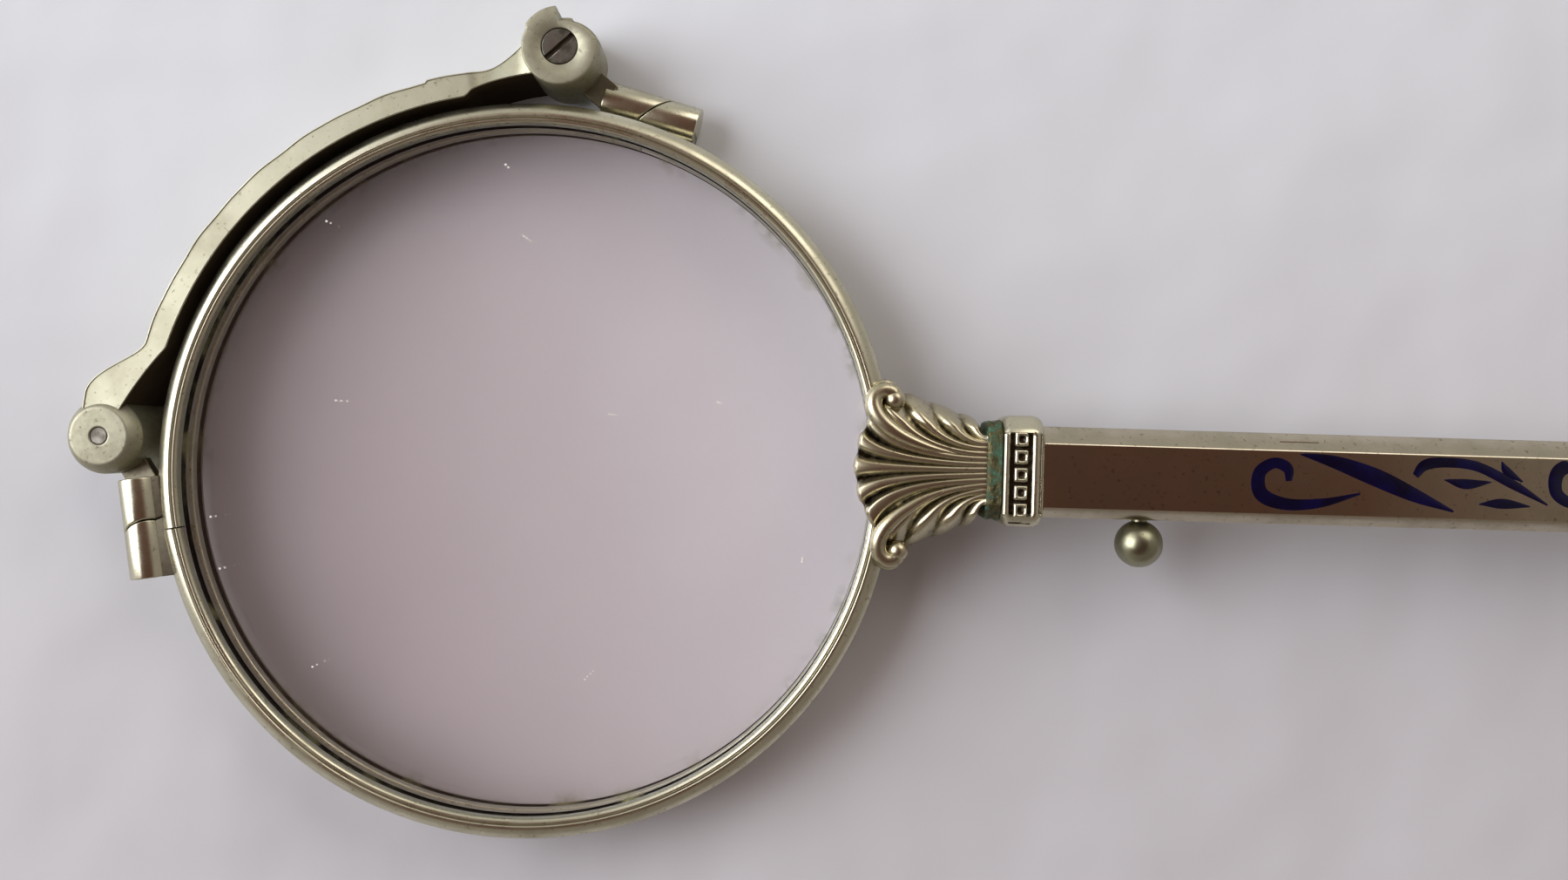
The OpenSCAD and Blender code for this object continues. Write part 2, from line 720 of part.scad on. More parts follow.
module cap() {
    w = handle_w + 0.7;
    t = handle_t + 0.5;
    plug = 2;
    difference() {
        union() {
            along_handle(cap_x, 0.8) handle_outline(w, t, handle_chamfer + 0.1);
            along_handle(cap_x + 0.8, cap_len - 1.4)
                handle_outline(handle_w - 0.1, handle_t - 0.1, handle_chamfer);
            along_handle(cap_x + cap_len - 0.6, 0.6) handle_outline(2.6, 2.2, 0.5);
            handle_bore(cap_x - plug, plug + eps);
            translate([eye_x, handle_off, handle_z]) rotate([90, 0, 0])
                cylinder(r = eye_r, h = 1, center = true);
            handle_box(cap_x + cap_len - 0.2, 0.8, -0.5, 0.5, handle_z - 0.7, handle_z + 0.7);
        }
        translate([eye_x, handle_off, handle_z]) rotate([90, 0, 0])
            cylinder(r = ring_wire / 2 + 0.12, h = 4, center = true);
    }
}

module hanging_ring() {
    translate([eye_x, handle_off, handle_z]) rotate([0, ring_dip, 0]) translate([ring_r, 0, 0])
        rotate_extrude($fn = 96) translate([ring_r, 0]) circle(d = ring_wire, $fn = 32);
}

module front_rim() { color("#b9b7a4") placed() rim_wire(); }
module front_lens() { color("#dfe6e8", 0.35) placed() lens_disc(); }
module front_block_near() { color("#b3b09a") placed() block_near(); }
module front_block_far() { color("#aeab96") placed() block_far(); }
module front_block_screw() { color("#8d8a7c") placed() block_screw(); }
module palmette() { color("#a8a184") placed() palmette_body(); }
module neck_ring() { color("#5f7f63") placed() neck(); }
module beaded_collar() { color("#b4b19c") placed() collar(); }
module handle_tube() { color("#b0aca0") placed() tube(); }
module enamel_scrolls() { color("#14143c") placed() enamel(enamel_depth); }
module catch_spring() { color("#77777a") placed() push_spring(); }
module spring_stop() { color("#9c9a8c") placed() stop_block(); }
module end_cap() { color("#b4b19c") placed() cap(); }
module bridge_bar() { color("#bdbca5") placed() bridge(); }
module handle_hinge_screw() { color("#8f8d84") placed() hinge_screw(); }
module outer_hinge_screw() { color("#8f8d84") placed() turned() hinge_screw(); }
module handle_hinge_spring() { color("#6d6f75") placed() hinge_spring(); }
module outer_hinge_spring() { color("#6d6f75") placed() turned() hinge_spring(); }
module rear_rim() { color("#b0ae9b") placed() turned() rim_wire(); }
module rear_lens() { color("#dfe6e8", 0.35) placed() turned() lens_disc(); }
module rear_block_near() { color("#b3b09a") placed() turned() block_near(); }
module rear_block_far() { color("#aeab96") placed() turned() block_far(); }
module rear_block_screw() { color("#8d8a7c") placed() turned() block_screw(); }

// Lug on the rear rim under the palmette, with the stud that the catch holds
module keeper_lug() {
    color("#a5a28d") placed() difference() {
        translate([rim_r - 1, handle_off - 0.8, z_rear - 0.5])
            cube([stud_x + 0.7 - rim_r + 1, 1.6, lug_top - z_rear + 0.5]);
        cylinder(r = rim_r, h = z_front);
        translate([stud_x, handle_off, 0]) cylinder(d = stud_d - 0.2, h = z_front);
    }
}

module keeper_stud() {
    color("#8d8a7c") placed() translate([stud_x, handle_off, 0]) {
        translate([0, 0, z_rear - 0.5]) cylinder(d = stud_d - 0.2, h = lug_top - z_rear + 0.5 + eps);
        translate([0, 0, lug_top]) cylinder(d = stud_d, h = finger_z + finger_t - 0.05 - lug_top);
    }
}

module catch_bolt() { color("#8d8a7c") placed() bolt(); }
module ball_knob() { color("#b5b39d") placed() ball(); }
module suspension_ring() { color("#b4b19c") placed() hanging_ring(); }

front_rim();
front_lens();
front_block_near();
front_block_far();
front_block_screw();
palmette();
neck_ring();
beaded_collar();
handle_tube();
enamel_scrolls();
catch_spring();
spring_stop();
end_cap();
bridge_bar();
handle_hinge_screw();
outer_hinge_screw();
handle_hinge_spring();
outer_hinge_spring();
rear_rim();
rear_lens();
rear_block_near();
rear_block_far();
rear_block_screw();
keeper_lug();
keeper_stud();
catch_bolt();
ball_knob();
suspension_ring();
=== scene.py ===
import math

import bmesh
import bpy
import numpy as np
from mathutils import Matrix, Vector


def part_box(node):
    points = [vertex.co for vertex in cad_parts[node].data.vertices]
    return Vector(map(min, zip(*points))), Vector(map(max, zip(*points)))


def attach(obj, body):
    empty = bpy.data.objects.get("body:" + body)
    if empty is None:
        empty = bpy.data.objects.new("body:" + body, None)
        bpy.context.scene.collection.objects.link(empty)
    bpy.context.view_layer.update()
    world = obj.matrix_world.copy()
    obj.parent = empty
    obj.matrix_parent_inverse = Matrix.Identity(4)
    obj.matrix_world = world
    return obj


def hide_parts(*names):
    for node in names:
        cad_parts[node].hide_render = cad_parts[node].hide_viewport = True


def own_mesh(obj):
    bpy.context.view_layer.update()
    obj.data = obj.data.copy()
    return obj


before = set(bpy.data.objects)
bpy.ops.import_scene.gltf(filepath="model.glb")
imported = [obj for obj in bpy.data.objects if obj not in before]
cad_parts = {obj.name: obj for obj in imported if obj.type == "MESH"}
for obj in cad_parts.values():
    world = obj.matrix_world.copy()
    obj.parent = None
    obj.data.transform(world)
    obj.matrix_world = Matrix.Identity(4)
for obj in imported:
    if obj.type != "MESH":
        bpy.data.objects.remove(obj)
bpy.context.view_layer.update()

mm = 0.001


# Small helpers

def nodeBox(name):
    # lowest and highest corner of a CAD node, in millimetres
    low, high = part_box(name)
    return np.array(low) / mm, np.array(high) / mm


def nodeCentre(name):
    low, high = nodeBox(name)
    return (low + high) / 2


def unit(degrees):
    # direction in the lens plane, measured from the handle
    return np.array([math.cos(math.radians(degrees)), math.sin(math.radians(degrees))])


def smooth(value, start, end):
    # 0 before start, 1 after end, with a soft passage between
    t = np.clip((value - start) / (end - start), 0, 1)
    return t * t * (3 - 2 * t)


def mix(a, b, t):
    return a + (b - a) * t


def through(spots, count):
    # smooth curve through a few spots: Catmull-Rom, each coordinate by itself
    p = np.array(spots, float)
    p = np.vstack([2 * p[0] - p[1], p, 2 * p[-1] - p[-2]])
    s = np.linspace(0, len(p) - 3, count)
    k = np.minimum(s.astype(int), len(p) - 4)
    t = (s - k)[:, None]
    a, b, c, d = p[k], p[k + 1], p[k + 2], p[k + 3]
    return 0.5 * (2 * b + (c - a) * t + (2 * a - 5 * b + 4 * c - d) * t ** 2
                  + (3 * b - a - 3 * c + d) * t ** 3)


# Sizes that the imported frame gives

rimLow, rimHigh = nodeBox("front_rim")
lensCentre = (rimLow[:2] + rimHigh[:2]) / 2
hingeNear = nodeCentre("handle_hinge_screw")[:2] - lensCentre
hingeFar = nodeCentre("outer_hinge_screw")[:2] - lensCentre
barLow, barHigh = nodeBox("bridge_bar")
tubeLow, tubeHigh = nodeBox("handle_tube")
pivotRadius = float(np.linalg.norm(hingeNear))
pivotAngle = math.degrees(math.atan2(hingeNear[1], hingeNear[0]))
spanAngle = pivotAngle - math.degrees(math.atan2(hingeFar[1], hingeFar[0]))
foldAngle = pivotAngle - spanAngle / 2
turnHeight = (barLow[2] + barHigh[2]) / 2
handleAxis = np.array([(tubeLow[1] + tubeHigh[1]) / 2 - lensCentre[1], (tubeLow[2] + tubeHigh[2]) / 2])


def halfTurn(points):
    # half turn about the line through the lens centre and the bridge's middle: front pieces to rear
    d = np.append(unit(foldAngle), 0)
    q = points - [0, 0, turnHeight]
    return 2 * (q @ d)[..., None] * d - q + [0, 0, turnHeight]


def atHinge(points):
    # from the hinge's frame, X outwards and Y along the rim, to the lens frame
    c, s = unit(pivotAngle)
    x, y, z = points.T
    x = x + pivotRadius
    return np.column_stack([c * x - s * y, s * x + c * y, z])


# Surfaces

def gridFaces(rows, cols, closed=False):
    # quads between neighbouring rows, round to the first column where the grid is closed
    i = np.arange(rows - 1)[:, None]
    j = np.arange(cols if closed else cols - 1)[None, :]
    k = (j + 1) % cols
    a, b = i * cols + j, i * cols + k
    return np.stack([a, b, b + cols, a + cols], -1).reshape(-1, 4).tolist()


def shellFromGrid(grid, caps=True):
    # rows of points as one shell: round each row, with flat ends on the first and last row
    rows, cols = grid.shape[:2]
    faces = gridFaces(rows, cols, closed=True)
    if caps:
        faces.append(list(range(cols))[::-1])
        faces.append([(rows - 1) * cols + j for j in range(cols)])
    return grid.reshape(-1, 3), faces


def solidFromRelief(top, low):
    # open grid as a solid: the surface itself, an underside of the same outline at the height low, and a
    # skirt between their edges
    under = top.copy()
    under[..., 2] = low
    rows, cols = top.shape[:2]
    count = rows * cols
    surface = np.array(gridFaces(rows, cols))
    index = np.arange(count).reshape(rows, cols)
    edge = np.concatenate([index[0, :-1], index[:-1, -1], index[-1, :0:-1], index[:0:-1, 0]])
    after = np.roll(edge, -1)
    skirt = np.stack([edge, after, after + count, edge + count], -1)
    faces = np.vstack([surface, surface[:, ::-1] + count, skirt]).tolist()
    return np.vstack([top.reshape(-1, 3), under.reshape(-1, 3)]), faces


def insetOutline(outline, depth):
    # closed outline moved inwards: each corner goes along the mean of its two edge normals
    before = outline - np.roll(outline, 1, 0)
    after = np.roll(outline, -1, 0) - outline
    normals = [np.stack([-e[:, 1], e[:, 0]], 1) / np.linalg.norm(e, axis=1)[:, None] for e in (before, after)]
    corner = normals[0] + normals[1]
    corner /= np.maximum((corner * normals[0]).sum(1), 0.35)[:, None]
    return outline + corner * depth


def roundedPrism(outline, low, high, edge=0.08, slantLow=(0, 0), slantHigh=(0, 0)):
    # solid on a closed outline from low to high. Its end edges are quarter rounds: ring a lies
    # edge * (1 - cos a) inside the outline and edge * (1 - sin a) from the end. A slant gives an end's
    # slope along the outline's two axes
    tops = [(edge * (1 - math.cos(a)), edge * (1 - math.sin(a))) for a in np.radians(np.linspace(0, 90, 5))]
    tops.append((edge * 1.5, 0))
    rings = []
    for inset, drop in reversed(tops):
        ring = insetOutline(outline, inset)
        rings.append(np.column_stack([ring, low + drop + ring @ slantLow]))
    for inset, drop in tops:
        ring = insetOutline(outline, inset)
        rings.append(np.column_stack([ring, high - drop + ring @ slantHigh]))
    return shellFromGrid(np.array(rings))


def revolved(profile, first, last, count):
    # profile of radius and height carried round the Z axis from first to last degrees, closed at both ends
    a = np.radians(np.linspace(first, last, count))[:, None]
    r, h = profile.T
    return shellFromGrid(np.stack([np.cos(a) * r, np.sin(a) * r, h + 0 * a], -1))


def lathe(profile, sides, caps=True):
    # profile of radius and height carried right round the Z axis
    a = np.linspace(0, 2 * np.pi, sides, endpoint=False)
    r, h = np.hsplit(np.array(profile, float), 2)
    return shellFromGrid(np.stack([r * np.cos(a), r * np.sin(a), h + 0 * a], -1), caps)


def tubeAlong(path, radius, sides):
    # round wire whose section stands square to its path
    ahead = np.gradient(path, axis=0)
    ahead /= np.linalg.norm(ahead, axis=1)[:, None]
    side = np.cross(ahead, [0, 0, 1])
    side /= np.linalg.norm(side, axis=1)[:, None]
    lift = np.cross(side, ahead)
    a = np.linspace(0, 2 * np.pi, sides, endpoint=False)[:, None]
    radius = np.broadcast_to(radius, len(path))[:, None, None]
    return shellFromGrid(path[:, None] + radius * (np.cos(a) * side[:, None] + np.sin(a) * lift[:, None]))


def circle(radius, count=96, centre=(0, 0)):
    a = np.linspace(0, 2 * np.pi, count, endpoint=False)
    return np.stack([centre[0] + radius * np.cos(a), centre[1] + radius * np.sin(a)], -1)


def roundedCorners(corners, radius):
    # closed outline whose corners are bends: quadratic curves that start and end radius away
    p = np.array(corners, float)
    out = []
    for i, b in enumerate(p):
        a, c = p[i - 1], p[(i + 1) % len(p)]
        start, end = [b + (q - b) / np.linalg.norm(q - b) * radius for q in (a, c)]
        for t in np.linspace(0, 1, 6):
            out.append((1 - t) ** 2 * start + 2 * t * (1 - t) * b + t * t * end)
    return np.array(out)


def placeShells(shells, move):
    return [(move(points), faces) for points, faces in shells]


def makePiece(name, shells, body, nodes, material, marks=None, place=True):
    # one mesh object from several shells, its doubles merged and its faces turned outwards
    points = np.concatenate([s[0] for s in shells])
    faces, base = [], 0
    for shellPoints, shellFaces in shells:
        faces += [[i + base for i in f] for f in shellFaces]
        base += len(shellPoints)
    if place:
        points = points + [*lensCentre, 0]
    mesh = bpy.data.meshes.new(name)
    mesh.from_pydata((points * mm).tolist(), [], faces)
    for key, values in (marks or {}).items():
        attribute = mesh.attributes.new(key, "FLOAT", "POINT")
        attribute.data.foreach_set("value", np.asarray(values, np.float32).ravel())
    bm = bmesh.new()
    bm.from_mesh(mesh)
    bmesh.ops.remove_doubles(bm, verts=bm.verts, dist=2e-7)
    bmesh.ops.dissolve_degenerate(bm, edges=bm.edges, dist=1e-7)
    bmesh.ops.recalc_face_normals(bm, faces=bm.faces)
    bm.to_mesh(mesh)
    bm.free()
    mesh.polygons.foreach_set("use_smooth", [True] * len(mesh.polygons))
    mesh.set_sharp_from_angle(angle=math.radians(48))
    piece = bpy.data.objects.new(name, mesh)
    bpy.context.scene.collection.objects.link(piece)
    mesh.materials.append(material)
    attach(piece, body)
    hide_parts(*nodes)
    return piece


# Materials

def linear(hexColour):
    # sRGB hex to linear, with alpha 1
    values = [int(hexColour[i:i + 2], 16) / 255 for i in (1, 3, 5)]
    return [v / 12.92 if v <= 0.04045 else ((v + 0.055) / 1.055) ** 2.4 for v in values] + [1.0]


def setInputs(tree, node, inputs):
    # inputs in their order or by name or number. Each takes a value, a socket, or a node whose first live
    # output is meant
    for key, value in inputs.items() if isinstance(inputs, dict) else enumerate(inputs):
        if isinstance(value, bpy.types.Node):
            value = next(output for output in value.outputs if output.enabled)
        if isinstance(value, bpy.types.NodeSocket):
            tree.links.new(value, node.inputs[key])
        else:
            node.inputs[key].default_value = value


def addNode(tree, kind, inputs=(), **settings):
    node = tree.nodes.new("ShaderNode" + kind)
    for key, value in settings.items():
        setattr(node, key, value)
    setInputs(tree, node, inputs)
    return node


def newMaterial(name):
    material = bpy.data.materials.new(name)
    material.use_nodes = True
    tree = material.node_tree
    return material, tree, tree.nodes["Principled BSDF"]


def millimetres(tree, stretch=(1, 1, 1)):
    # object coordinates in millimetres, stretched along an axis where a mark runs long
    place = addNode(tree, "TexCoord").outputs["Object"]
    return addNode(tree, "Mapping", {"Vector": place, "Scale": [s / mm for s in stretch]})


nickelSilver = {
    "clean": "#c9c5ad",       # a copper, nickel and zinc alloy, faintly yellow-green
    "dull": "#98937b",        # thin grey-green film that handling leaves
    "stain": "#5b4f3c",       # brown tarnish
    "patch": 2.6,             # mm, size of the duller patches
    "speck": 0.22,            # mm, size of pits and specks
    "scratch": 0.2,           # mm, size of fine scratches, coarser than real so that they show
}


def nickelSilverMaterial(name, roughness, polish, bumpHeight=0.004, stretch=(1, 1, 1), tint=None, paintedLightAndSoilColour=None,
                         dullness=0.5, ragged=0.25):
    # Nickel silver, drawn, filed and worn by handling: a pale metal whose gloss changes in patches.
    # roughness is the duller end of its gloss and polish the brighter one, bumpHeight is in mm. The mark
    # colour goes where the point mark is high: painted shade in gaps and recesses, a painted pale reflection
    # on the rim's inner side, and tarnish on the drums. ragged is how uneven its edge is
    material, tree, shader = newMaterial(name)
    spot, drawn = millimetres(tree), millimetres(tree, stretch)
    cloud = {"Vector": spot, "Scale": 1 / nickelSilver["patch"], "Detail": 4, "Roughness": 0.6}
    patches = addNode(tree, "TexNoise", cloud)
    patches = addNode(tree, "MapRange", [patches, 0.38, 0.66])
    specks = addNode(tree, "TexNoise", {"Vector": spot, "Scale": 1 / nickelSilver["speck"], "Detail": 2})
    specks = addNode(tree, "MapRange", [specks, 0.63, 0.75])
    fine = {"Vector": drawn, "Scale": 1 / nickelSilver["scratch"], "Detail": 5, "Roughness": 0.7}
    lines = addNode(tree, "TexNoise", fine)
    clean = linear(tint or nickelSilver["clean"])
    dull, brown = linear(nickelSilver["dull"]), linear(nickelSilver["stain"])
    film = addNode(tree, "Math", [patches, dullness], operation="MULTIPLY")
    colour = addNode(tree, "Mix", {0: film, 6: clean, 7: dull}, data_type="RGBA")
    stain = addNode(tree, "Math", [specks, 0.55], operation="MULTIPLY")
    colour = addNode(tree, "Mix", {0: stain, 6: colour, 7: brown}, data_type="RGBA")
    gloss = addNode(tree, "Math", [patches, stain], operation="ADD", use_clamp=True)
    gloss = addNode(tree, "MapRange", [gloss, 0, 1.2, polish, roughness])
    if paintedLightAndSoilColour:
        # painted light: the mark colour is painted shade in gaps and recesses and a painted pale reflection on the
        # rim's inner side; on the drums it is tarnish
        mark = addNode(tree, "Attribute", attribute_name="paintedLightAndSoil").outputs["Fac"]
        wobble = addNode(tree, "TexNoise", {"Vector": spot, "Scale": 1 / 0.35, "Detail": 3})
        wobble = addNode(tree, "MapRange", [wobble, 0.3, 0.7, -ragged, ragged])
        mark = addNode(tree, "Math", [mark, wobble], operation="ADD", use_clamp=True)
        mark = addNode(tree, "MapRange", [mark, 0.25, 0.9])
        colour = addNode(tree, "Mix", {0: mark, 6: colour, 7: linear(paintedLightAndSoilColour)}, data_type="RGBA")
        gloss = addNode(tree, "Math", [mark, 0.3, gloss], operation="MULTIPLY_ADD")
    dents = addNode(tree, "TexNoise", {"Vector": spot, "Scale": 1 / 1.3, "Detail": 2})
    height = addNode(tree, "Math", [lines, 0.35, dents], operation="MULTIPLY_ADD")
    bump = addNode(tree, "Bump", {"Height": height, "Distance": bumpHeight * mm, "Strength": 1.0})
    setInputs(tree, shader, {"Base Color": colour, "Roughness": gloss, "Metallic": 1.0, "Normal": bump})
    return material


lensDirt = {
    "cell": 5.0,             # mm between specks of dust
    "speck": 0.075,           # mm, radius of a speck
    "dust": "#e9e6e2",
    "crust": "#84825f",      # dried polish and verdigris along the rim
    "from": 17.5,            # mm from the lens centre to the crust's inner edge
    "to": 18.6,
}


def crownGlassMaterial():
    # Crown glass, ground and polished: clear, with a faint warm cast where it is seen through. Its shadow
    # is painted shade: a soft grey veil, deeper on the window's side
    material, tree, shader = newMaterial("crownGlass")
    setInputs(tree, shader, {"Base Color": linear("#fefdfd"), "Roughness": 0.0, "IOR": 1.52,
                             "Transmission Weight": 1.0})
    # a few specks of dust, and a thin crust in patches along the rim
    spot = addNode(tree, "VectorMath", [millimetres(tree), [*lensCentre, 0]], operation="SUBTRACT")
    cells = addNode(tree, "TexVoronoi", {"Vector": spot, "Scale": 1 / lensDirt["cell"]}, voronoi_dimensions="2D")
    reach = lensDirt["speck"] / lensDirt["cell"]
    near = addNode(tree, "MapRange", [cells.outputs["Distance"], reach, reach * 0.7])
    chosen = addNode(tree, "SeparateColor", [cells.outputs["Color"]])
    chosen = addNode(tree, "MapRange", [chosen, 0.66, 0.68])
    specks = addNode(tree, "Math", [near, chosen], operation="MULTIPLY")
    x, y, z = addNode(tree, "SeparateXYZ", [spot]).outputs
    radius = addNode(tree, "VectorMath", [addNode(tree, "CombineXYZ", [x, y])], operation="LENGTH")
    outer = addNode(tree, "MapRange", [radius, lensDirt["from"], lensDirt["to"]])
    ragged = addNode(tree, "TexNoise", {"Vector": spot, "Scale": 1 / 2.4, "Detail": 3, "Roughness": 0.6})
    ragged = addNode(tree, "MapRange", [ragged, 0.56, 0.8])
    crust = addNode(tree, "Math", [outer, ragged], operation="MULTIPLY")
    dirt = addNode(tree, "Math", [specks, crust], operation="MAXIMUM")
    matt = {0: specks, 6: linear(lensDirt["crust"]), 7: linear(lensDirt["dust"])}
    matt = addNode(tree, "BsdfDiffuse", [addNode(tree, "Mix", matt, data_type="RGBA")])
    surface = addNode(tree, "MixShader", [dirt, shader, matt])
    # lamps pass through it, so that it throws the light shadow of a clear lens, greyed by painted shade that deepens
    # towards the window's side
    paintedShadowTint = {0: addNode(tree, "MapRange", [x, -20, 18]), 6: linear("#dbd2d1"), 7: linear("#f8f7f7")}
    clear = addNode(tree, "BsdfTransparent", [addNode(tree, "Mix", paintedShadowTint, data_type="RGBA")])
    shadow = addNode(tree, "LightPath").outputs["Is Shadow Ray"]
    both = addNode(tree, "MixShader", [shadow, surface, clear])
    setInputs(tree, tree.nodes["Material Output"], {"Surface": both})
    return material


def enamelMaterial():
    # Champleve enamel, fired in a pocket and ground flush: deep cobalt glass with a wet gloss
    material, tree, shader = newMaterial("cobaltEnamel")
    spot = millimetres(tree)
    cloud = addNode(tree, "TexNoise", {"Vector": spot, "Scale": 1 / 1.1, "Detail": 3})
    cloud = addNode(tree, "MapRange", [cloud, 0.35, 0.65])
    colour = addNode(tree, "Mix", {0: cloud, 6: linear("#03031a"), 7: linear("#06062e")}, data_type="RGBA")
    pits = addNode(tree, "TexNoise", {"Vector": spot, "Scale": 1 / 0.4, "Detail": 2})
    bump = addNode(tree, "Bump", {"Height": pits, "Distance": 0.004 * mm})
    setInputs(tree, shader, {"Base Color": colour, "Roughness": 0.12, "IOR": 1.5, "Specular IOR Level": 0.36,
                             "Normal": bump})
    return material


def verdigrisMaterial():
    # Nickel silver under verdigris: a powdery green salt of copper that fills the neck, thin on top
    material, tree, shader = newMaterial("verdigrisNeck")
    spot = millimetres(tree)
    crust = addNode(tree, "TexNoise", {"Vector": spot, "Scale": 1 / 0.5, "Detail": 4, "Roughness": 0.65})
    crust = addNode(tree, "MapRange", [crust, 0.47, 0.6])
    shade = addNode(tree, "TexNoise", {"Vector": spot, "Scale": 1 / 0.25, "Detail": 3})
    shade = addNode(tree, "MapRange", [shade, 0.3, 0.7])
    salt = addNode(tree, "Mix", {0: shade, 6: linear("#1d3f2c"), 7: linear("#456a50")}, data_type="RGBA")
    metal = addNode(tree, "Mix", {0: shade, 6: linear("#6a6749"), 7: linear("#241d12")}, data_type="RGBA")
    colour = addNode(tree, "Mix", {0: crust, 6: metal, 7: salt}, data_type="RGBA")
    bare = addNode(tree, "MapRange", [crust, 0, 1, 1, 0.05])
    gloss = addNode(tree, "MapRange", [crust, 0, 1, 0.35, 0.8])
    grain = addNode(tree, "TexNoise", {"Vector": spot, "Scale": 1 / 0.15, "Detail": 4, "Roughness": 0.7})
    bump = addNode(tree, "Bump", {"Height": grain, "Distance": 0.05 * mm})
    setInputs(tree, shader, {"Base Color": colour, "Metallic": bare, "Roughness": gloss, "Normal": bump})
    return material


def steelMaterial(name, colour, roughness):
    # Drawn or turned steel, dulled: a grey metal with turning marks too fine to see one by one
    material, tree, shader = newMaterial(name)
    spot = millimetres(tree)
    patches = addNode(tree, "TexNoise", {"Vector": spot, "Scale": 1 / 0.6, "Detail": 3})
    patches = addNode(tree, "MapRange", [patches, 0.35, 0.65])
    colour = addNode(tree, "Mix", {0: patches, 6: linear(colour), 7: linear("#4a463c")}, data_type="RGBA")
    gloss = addNode(tree, "MapRange", [patches, 0, 1, roughness, roughness + 0.2])
    grain = addNode(tree, "TexNoise", {"Vector": spot, "Scale": 1 / 0.1, "Detail": 3})
    bump = addNode(tree, "Bump", {"Height": grain, "Distance": 0.003 * mm})
    setInputs(tree, shader, {"Base Color": colour, "Roughness": gloss, "Metallic": 1.0, "Normal": bump})
    return material


# the pale mark colour on the rim is painted reflection on its inner side
rimMetal = nickelSilverMaterial("wornNickelSilver", 0.4, 0.24, 0.004, paintedLightAndSoilColour="#a6a699", ragged=0.1)
# the dark mark colour on the bar is painted shade on its inner side; on the drums it is tarnish
bridgeMetal = nickelSilverMaterial("filedNickelSilver", 0.55, 0.42, 0.012, tint="#bfbea6", paintedLightAndSoilColour="#54493a",
                                   dullness=0.4, ragged=0.04)
# the dark mark colour on the blocks is painted shade under the barrel
blockMetal = nickelSilverMaterial("turnedNickelSilver", 0.36, 0.2, 0.005, paintedLightAndSoilColour="#443a2b", ragged=0.04)
handleMetal = nickelSilverMaterial("drawnNickelSilver", 0.22, 0.10, 0.002, stretch=(0.06, 1, 1), tint="#b9b09c")
# the dark mark colour on the palmette is painted shade in its flutes
chasedMetal = nickelSilverMaterial("chasedNickelSilver", 0.38, 0.24, 0.004, tint="#bdb497", paintedLightAndSoilColour="#2c2216")
# the dark mark colour on the collar is painted shade in its bead row and beads
mountMetal = nickelSilverMaterial("castNickelSilver", 0.38, 0.26, 0.003, paintedLightAndSoilColour="#3a2c1f")
catchMetal = nickelSilverMaterial("milledNickelSilver", 0.4, 0.25, 0.004)
ballMetal = nickelSilverMaterial("handledNickelSilver", 0.42, 0.28, 0.004, tint="#93937a")
glass = crownGlassMaterial()
enamel = enamelMaterial()
verdigris = verdigrisMaterial()
screwSteel = steelMaterial("turnedSteel", "#8f8c82", 0.3)
springSteel = steelMaterial("drawnSpringSteel", "#77797e", 0.3)
print("materials made")


# Rims and lenses

rim = {
    "wall": 1.15,            # mm, radial
    "lip": 0.26,             # width of the bright inner lip
    "lipFall": 0.30,         # how far it slopes inwards
    "line": 0.12,            # width of the cut line beside it
    "lineDepth": 0.11,
    "slope": 0.42,           # how far the band falls to its outer edge
    "groove": 0.42,
    "edge": 0.1,             # rounding of the outer back edge
    "slitAt": 4.95,          # distance of the slit from the hinge, along the rim
    "slit": 0.08,
    "spring": 0.07,          # how far one end has sprung out of line at the slit
    "steps": 900,
}
rimRadius = (rimHigh[0] - rimLow[0]) / 2
rimHalf = (rimHigh[2] - rimLow[2]) / 2
frontHeight = (rimHigh[2] + rimLow[2]) / 2
barrelRadius = (nodeBox("front_block_near")[1][2] - nodeBox("front_block_near")[0][2]) / 2
barrelLine = rimRadius + barrelRadius


def rimProfile():
    # section of the wire: groove inside, a lip that slopes inwards as a quarter ellipse, cut line, and a
    # band that falls off to its outer edge as a parabola
    inner, half = rimRadius - rim["wall"], rimHalf
    lineAt = inner + rim["lip"]
    band = lineAt + rim["line"]
    s = np.linspace(0, 1, 16)
    fall = np.column_stack([mix(band + 0.03, rimRadius - 0.04, s), half - rim["slope"] * s ** 1.8]).tolist()
    t = np.radians(np.linspace(0, 80, 7))
    lipTop = half - 0.02 - rim["lipFall"] * (1 - np.sin(t))
    lip = np.column_stack([inner + rim["lip"] * (1 - np.cos(t)), lipTop]).tolist()
    lip += [[lineAt, half - 0.03], [lineAt + 0.03, half - 0.08], [lineAt + rim["line"] / 2, half - rim["lineDepth"]],
            [band - 0.03, half - 0.08], [band, half - 0.02]]
    side = [[rimRadius, half - rim["slope"] - 0.06], [rimRadius, -half + rim["edge"]],
            [rimRadius - 0.03, -half + 0.03], [rimRadius - rim["edge"], -half], [inner + 0.06, -half],
            [inner, -half + 0.06]]
    groove = [[inner, -rim["groove"]], [inner + rim["groove"], -0.05], [inner + rim["groove"], 0.05],
              [inner, rim["groove"]]]
    return np.array(side + groove + lip + fall)


def rimShell():
    # the wire runs round from one side of the slit to the other, one end a little proud
    slitAngle = math.degrees(math.asin(rim["slitAt"] / barrelLine))
    gap = math.degrees(rim["slit"] / rimRadius)
    start = pivotAngle + slitAngle + gap / 2
    points, faces = revolved(rimProfile(), start, start + 360 - gap, rim["steps"])
    turned = (np.degrees(np.arctan2(points[:, 1], points[:, 0])) - start) % 360
    proud = 1 + rim["spring"] / rimRadius * np.exp(-turned / 5)
    points = points * np.column_stack([proud, proud, np.ones_like(proud)]) + [0, 0, frontHeight]
    return points, faces


lens = {
    "edgeHeight": 0.9,       # mm, thickness at the rim's lip
    "dome": 0.3,             # rise of each face
    "bevel": 0.39,
    "rings": 40,
}


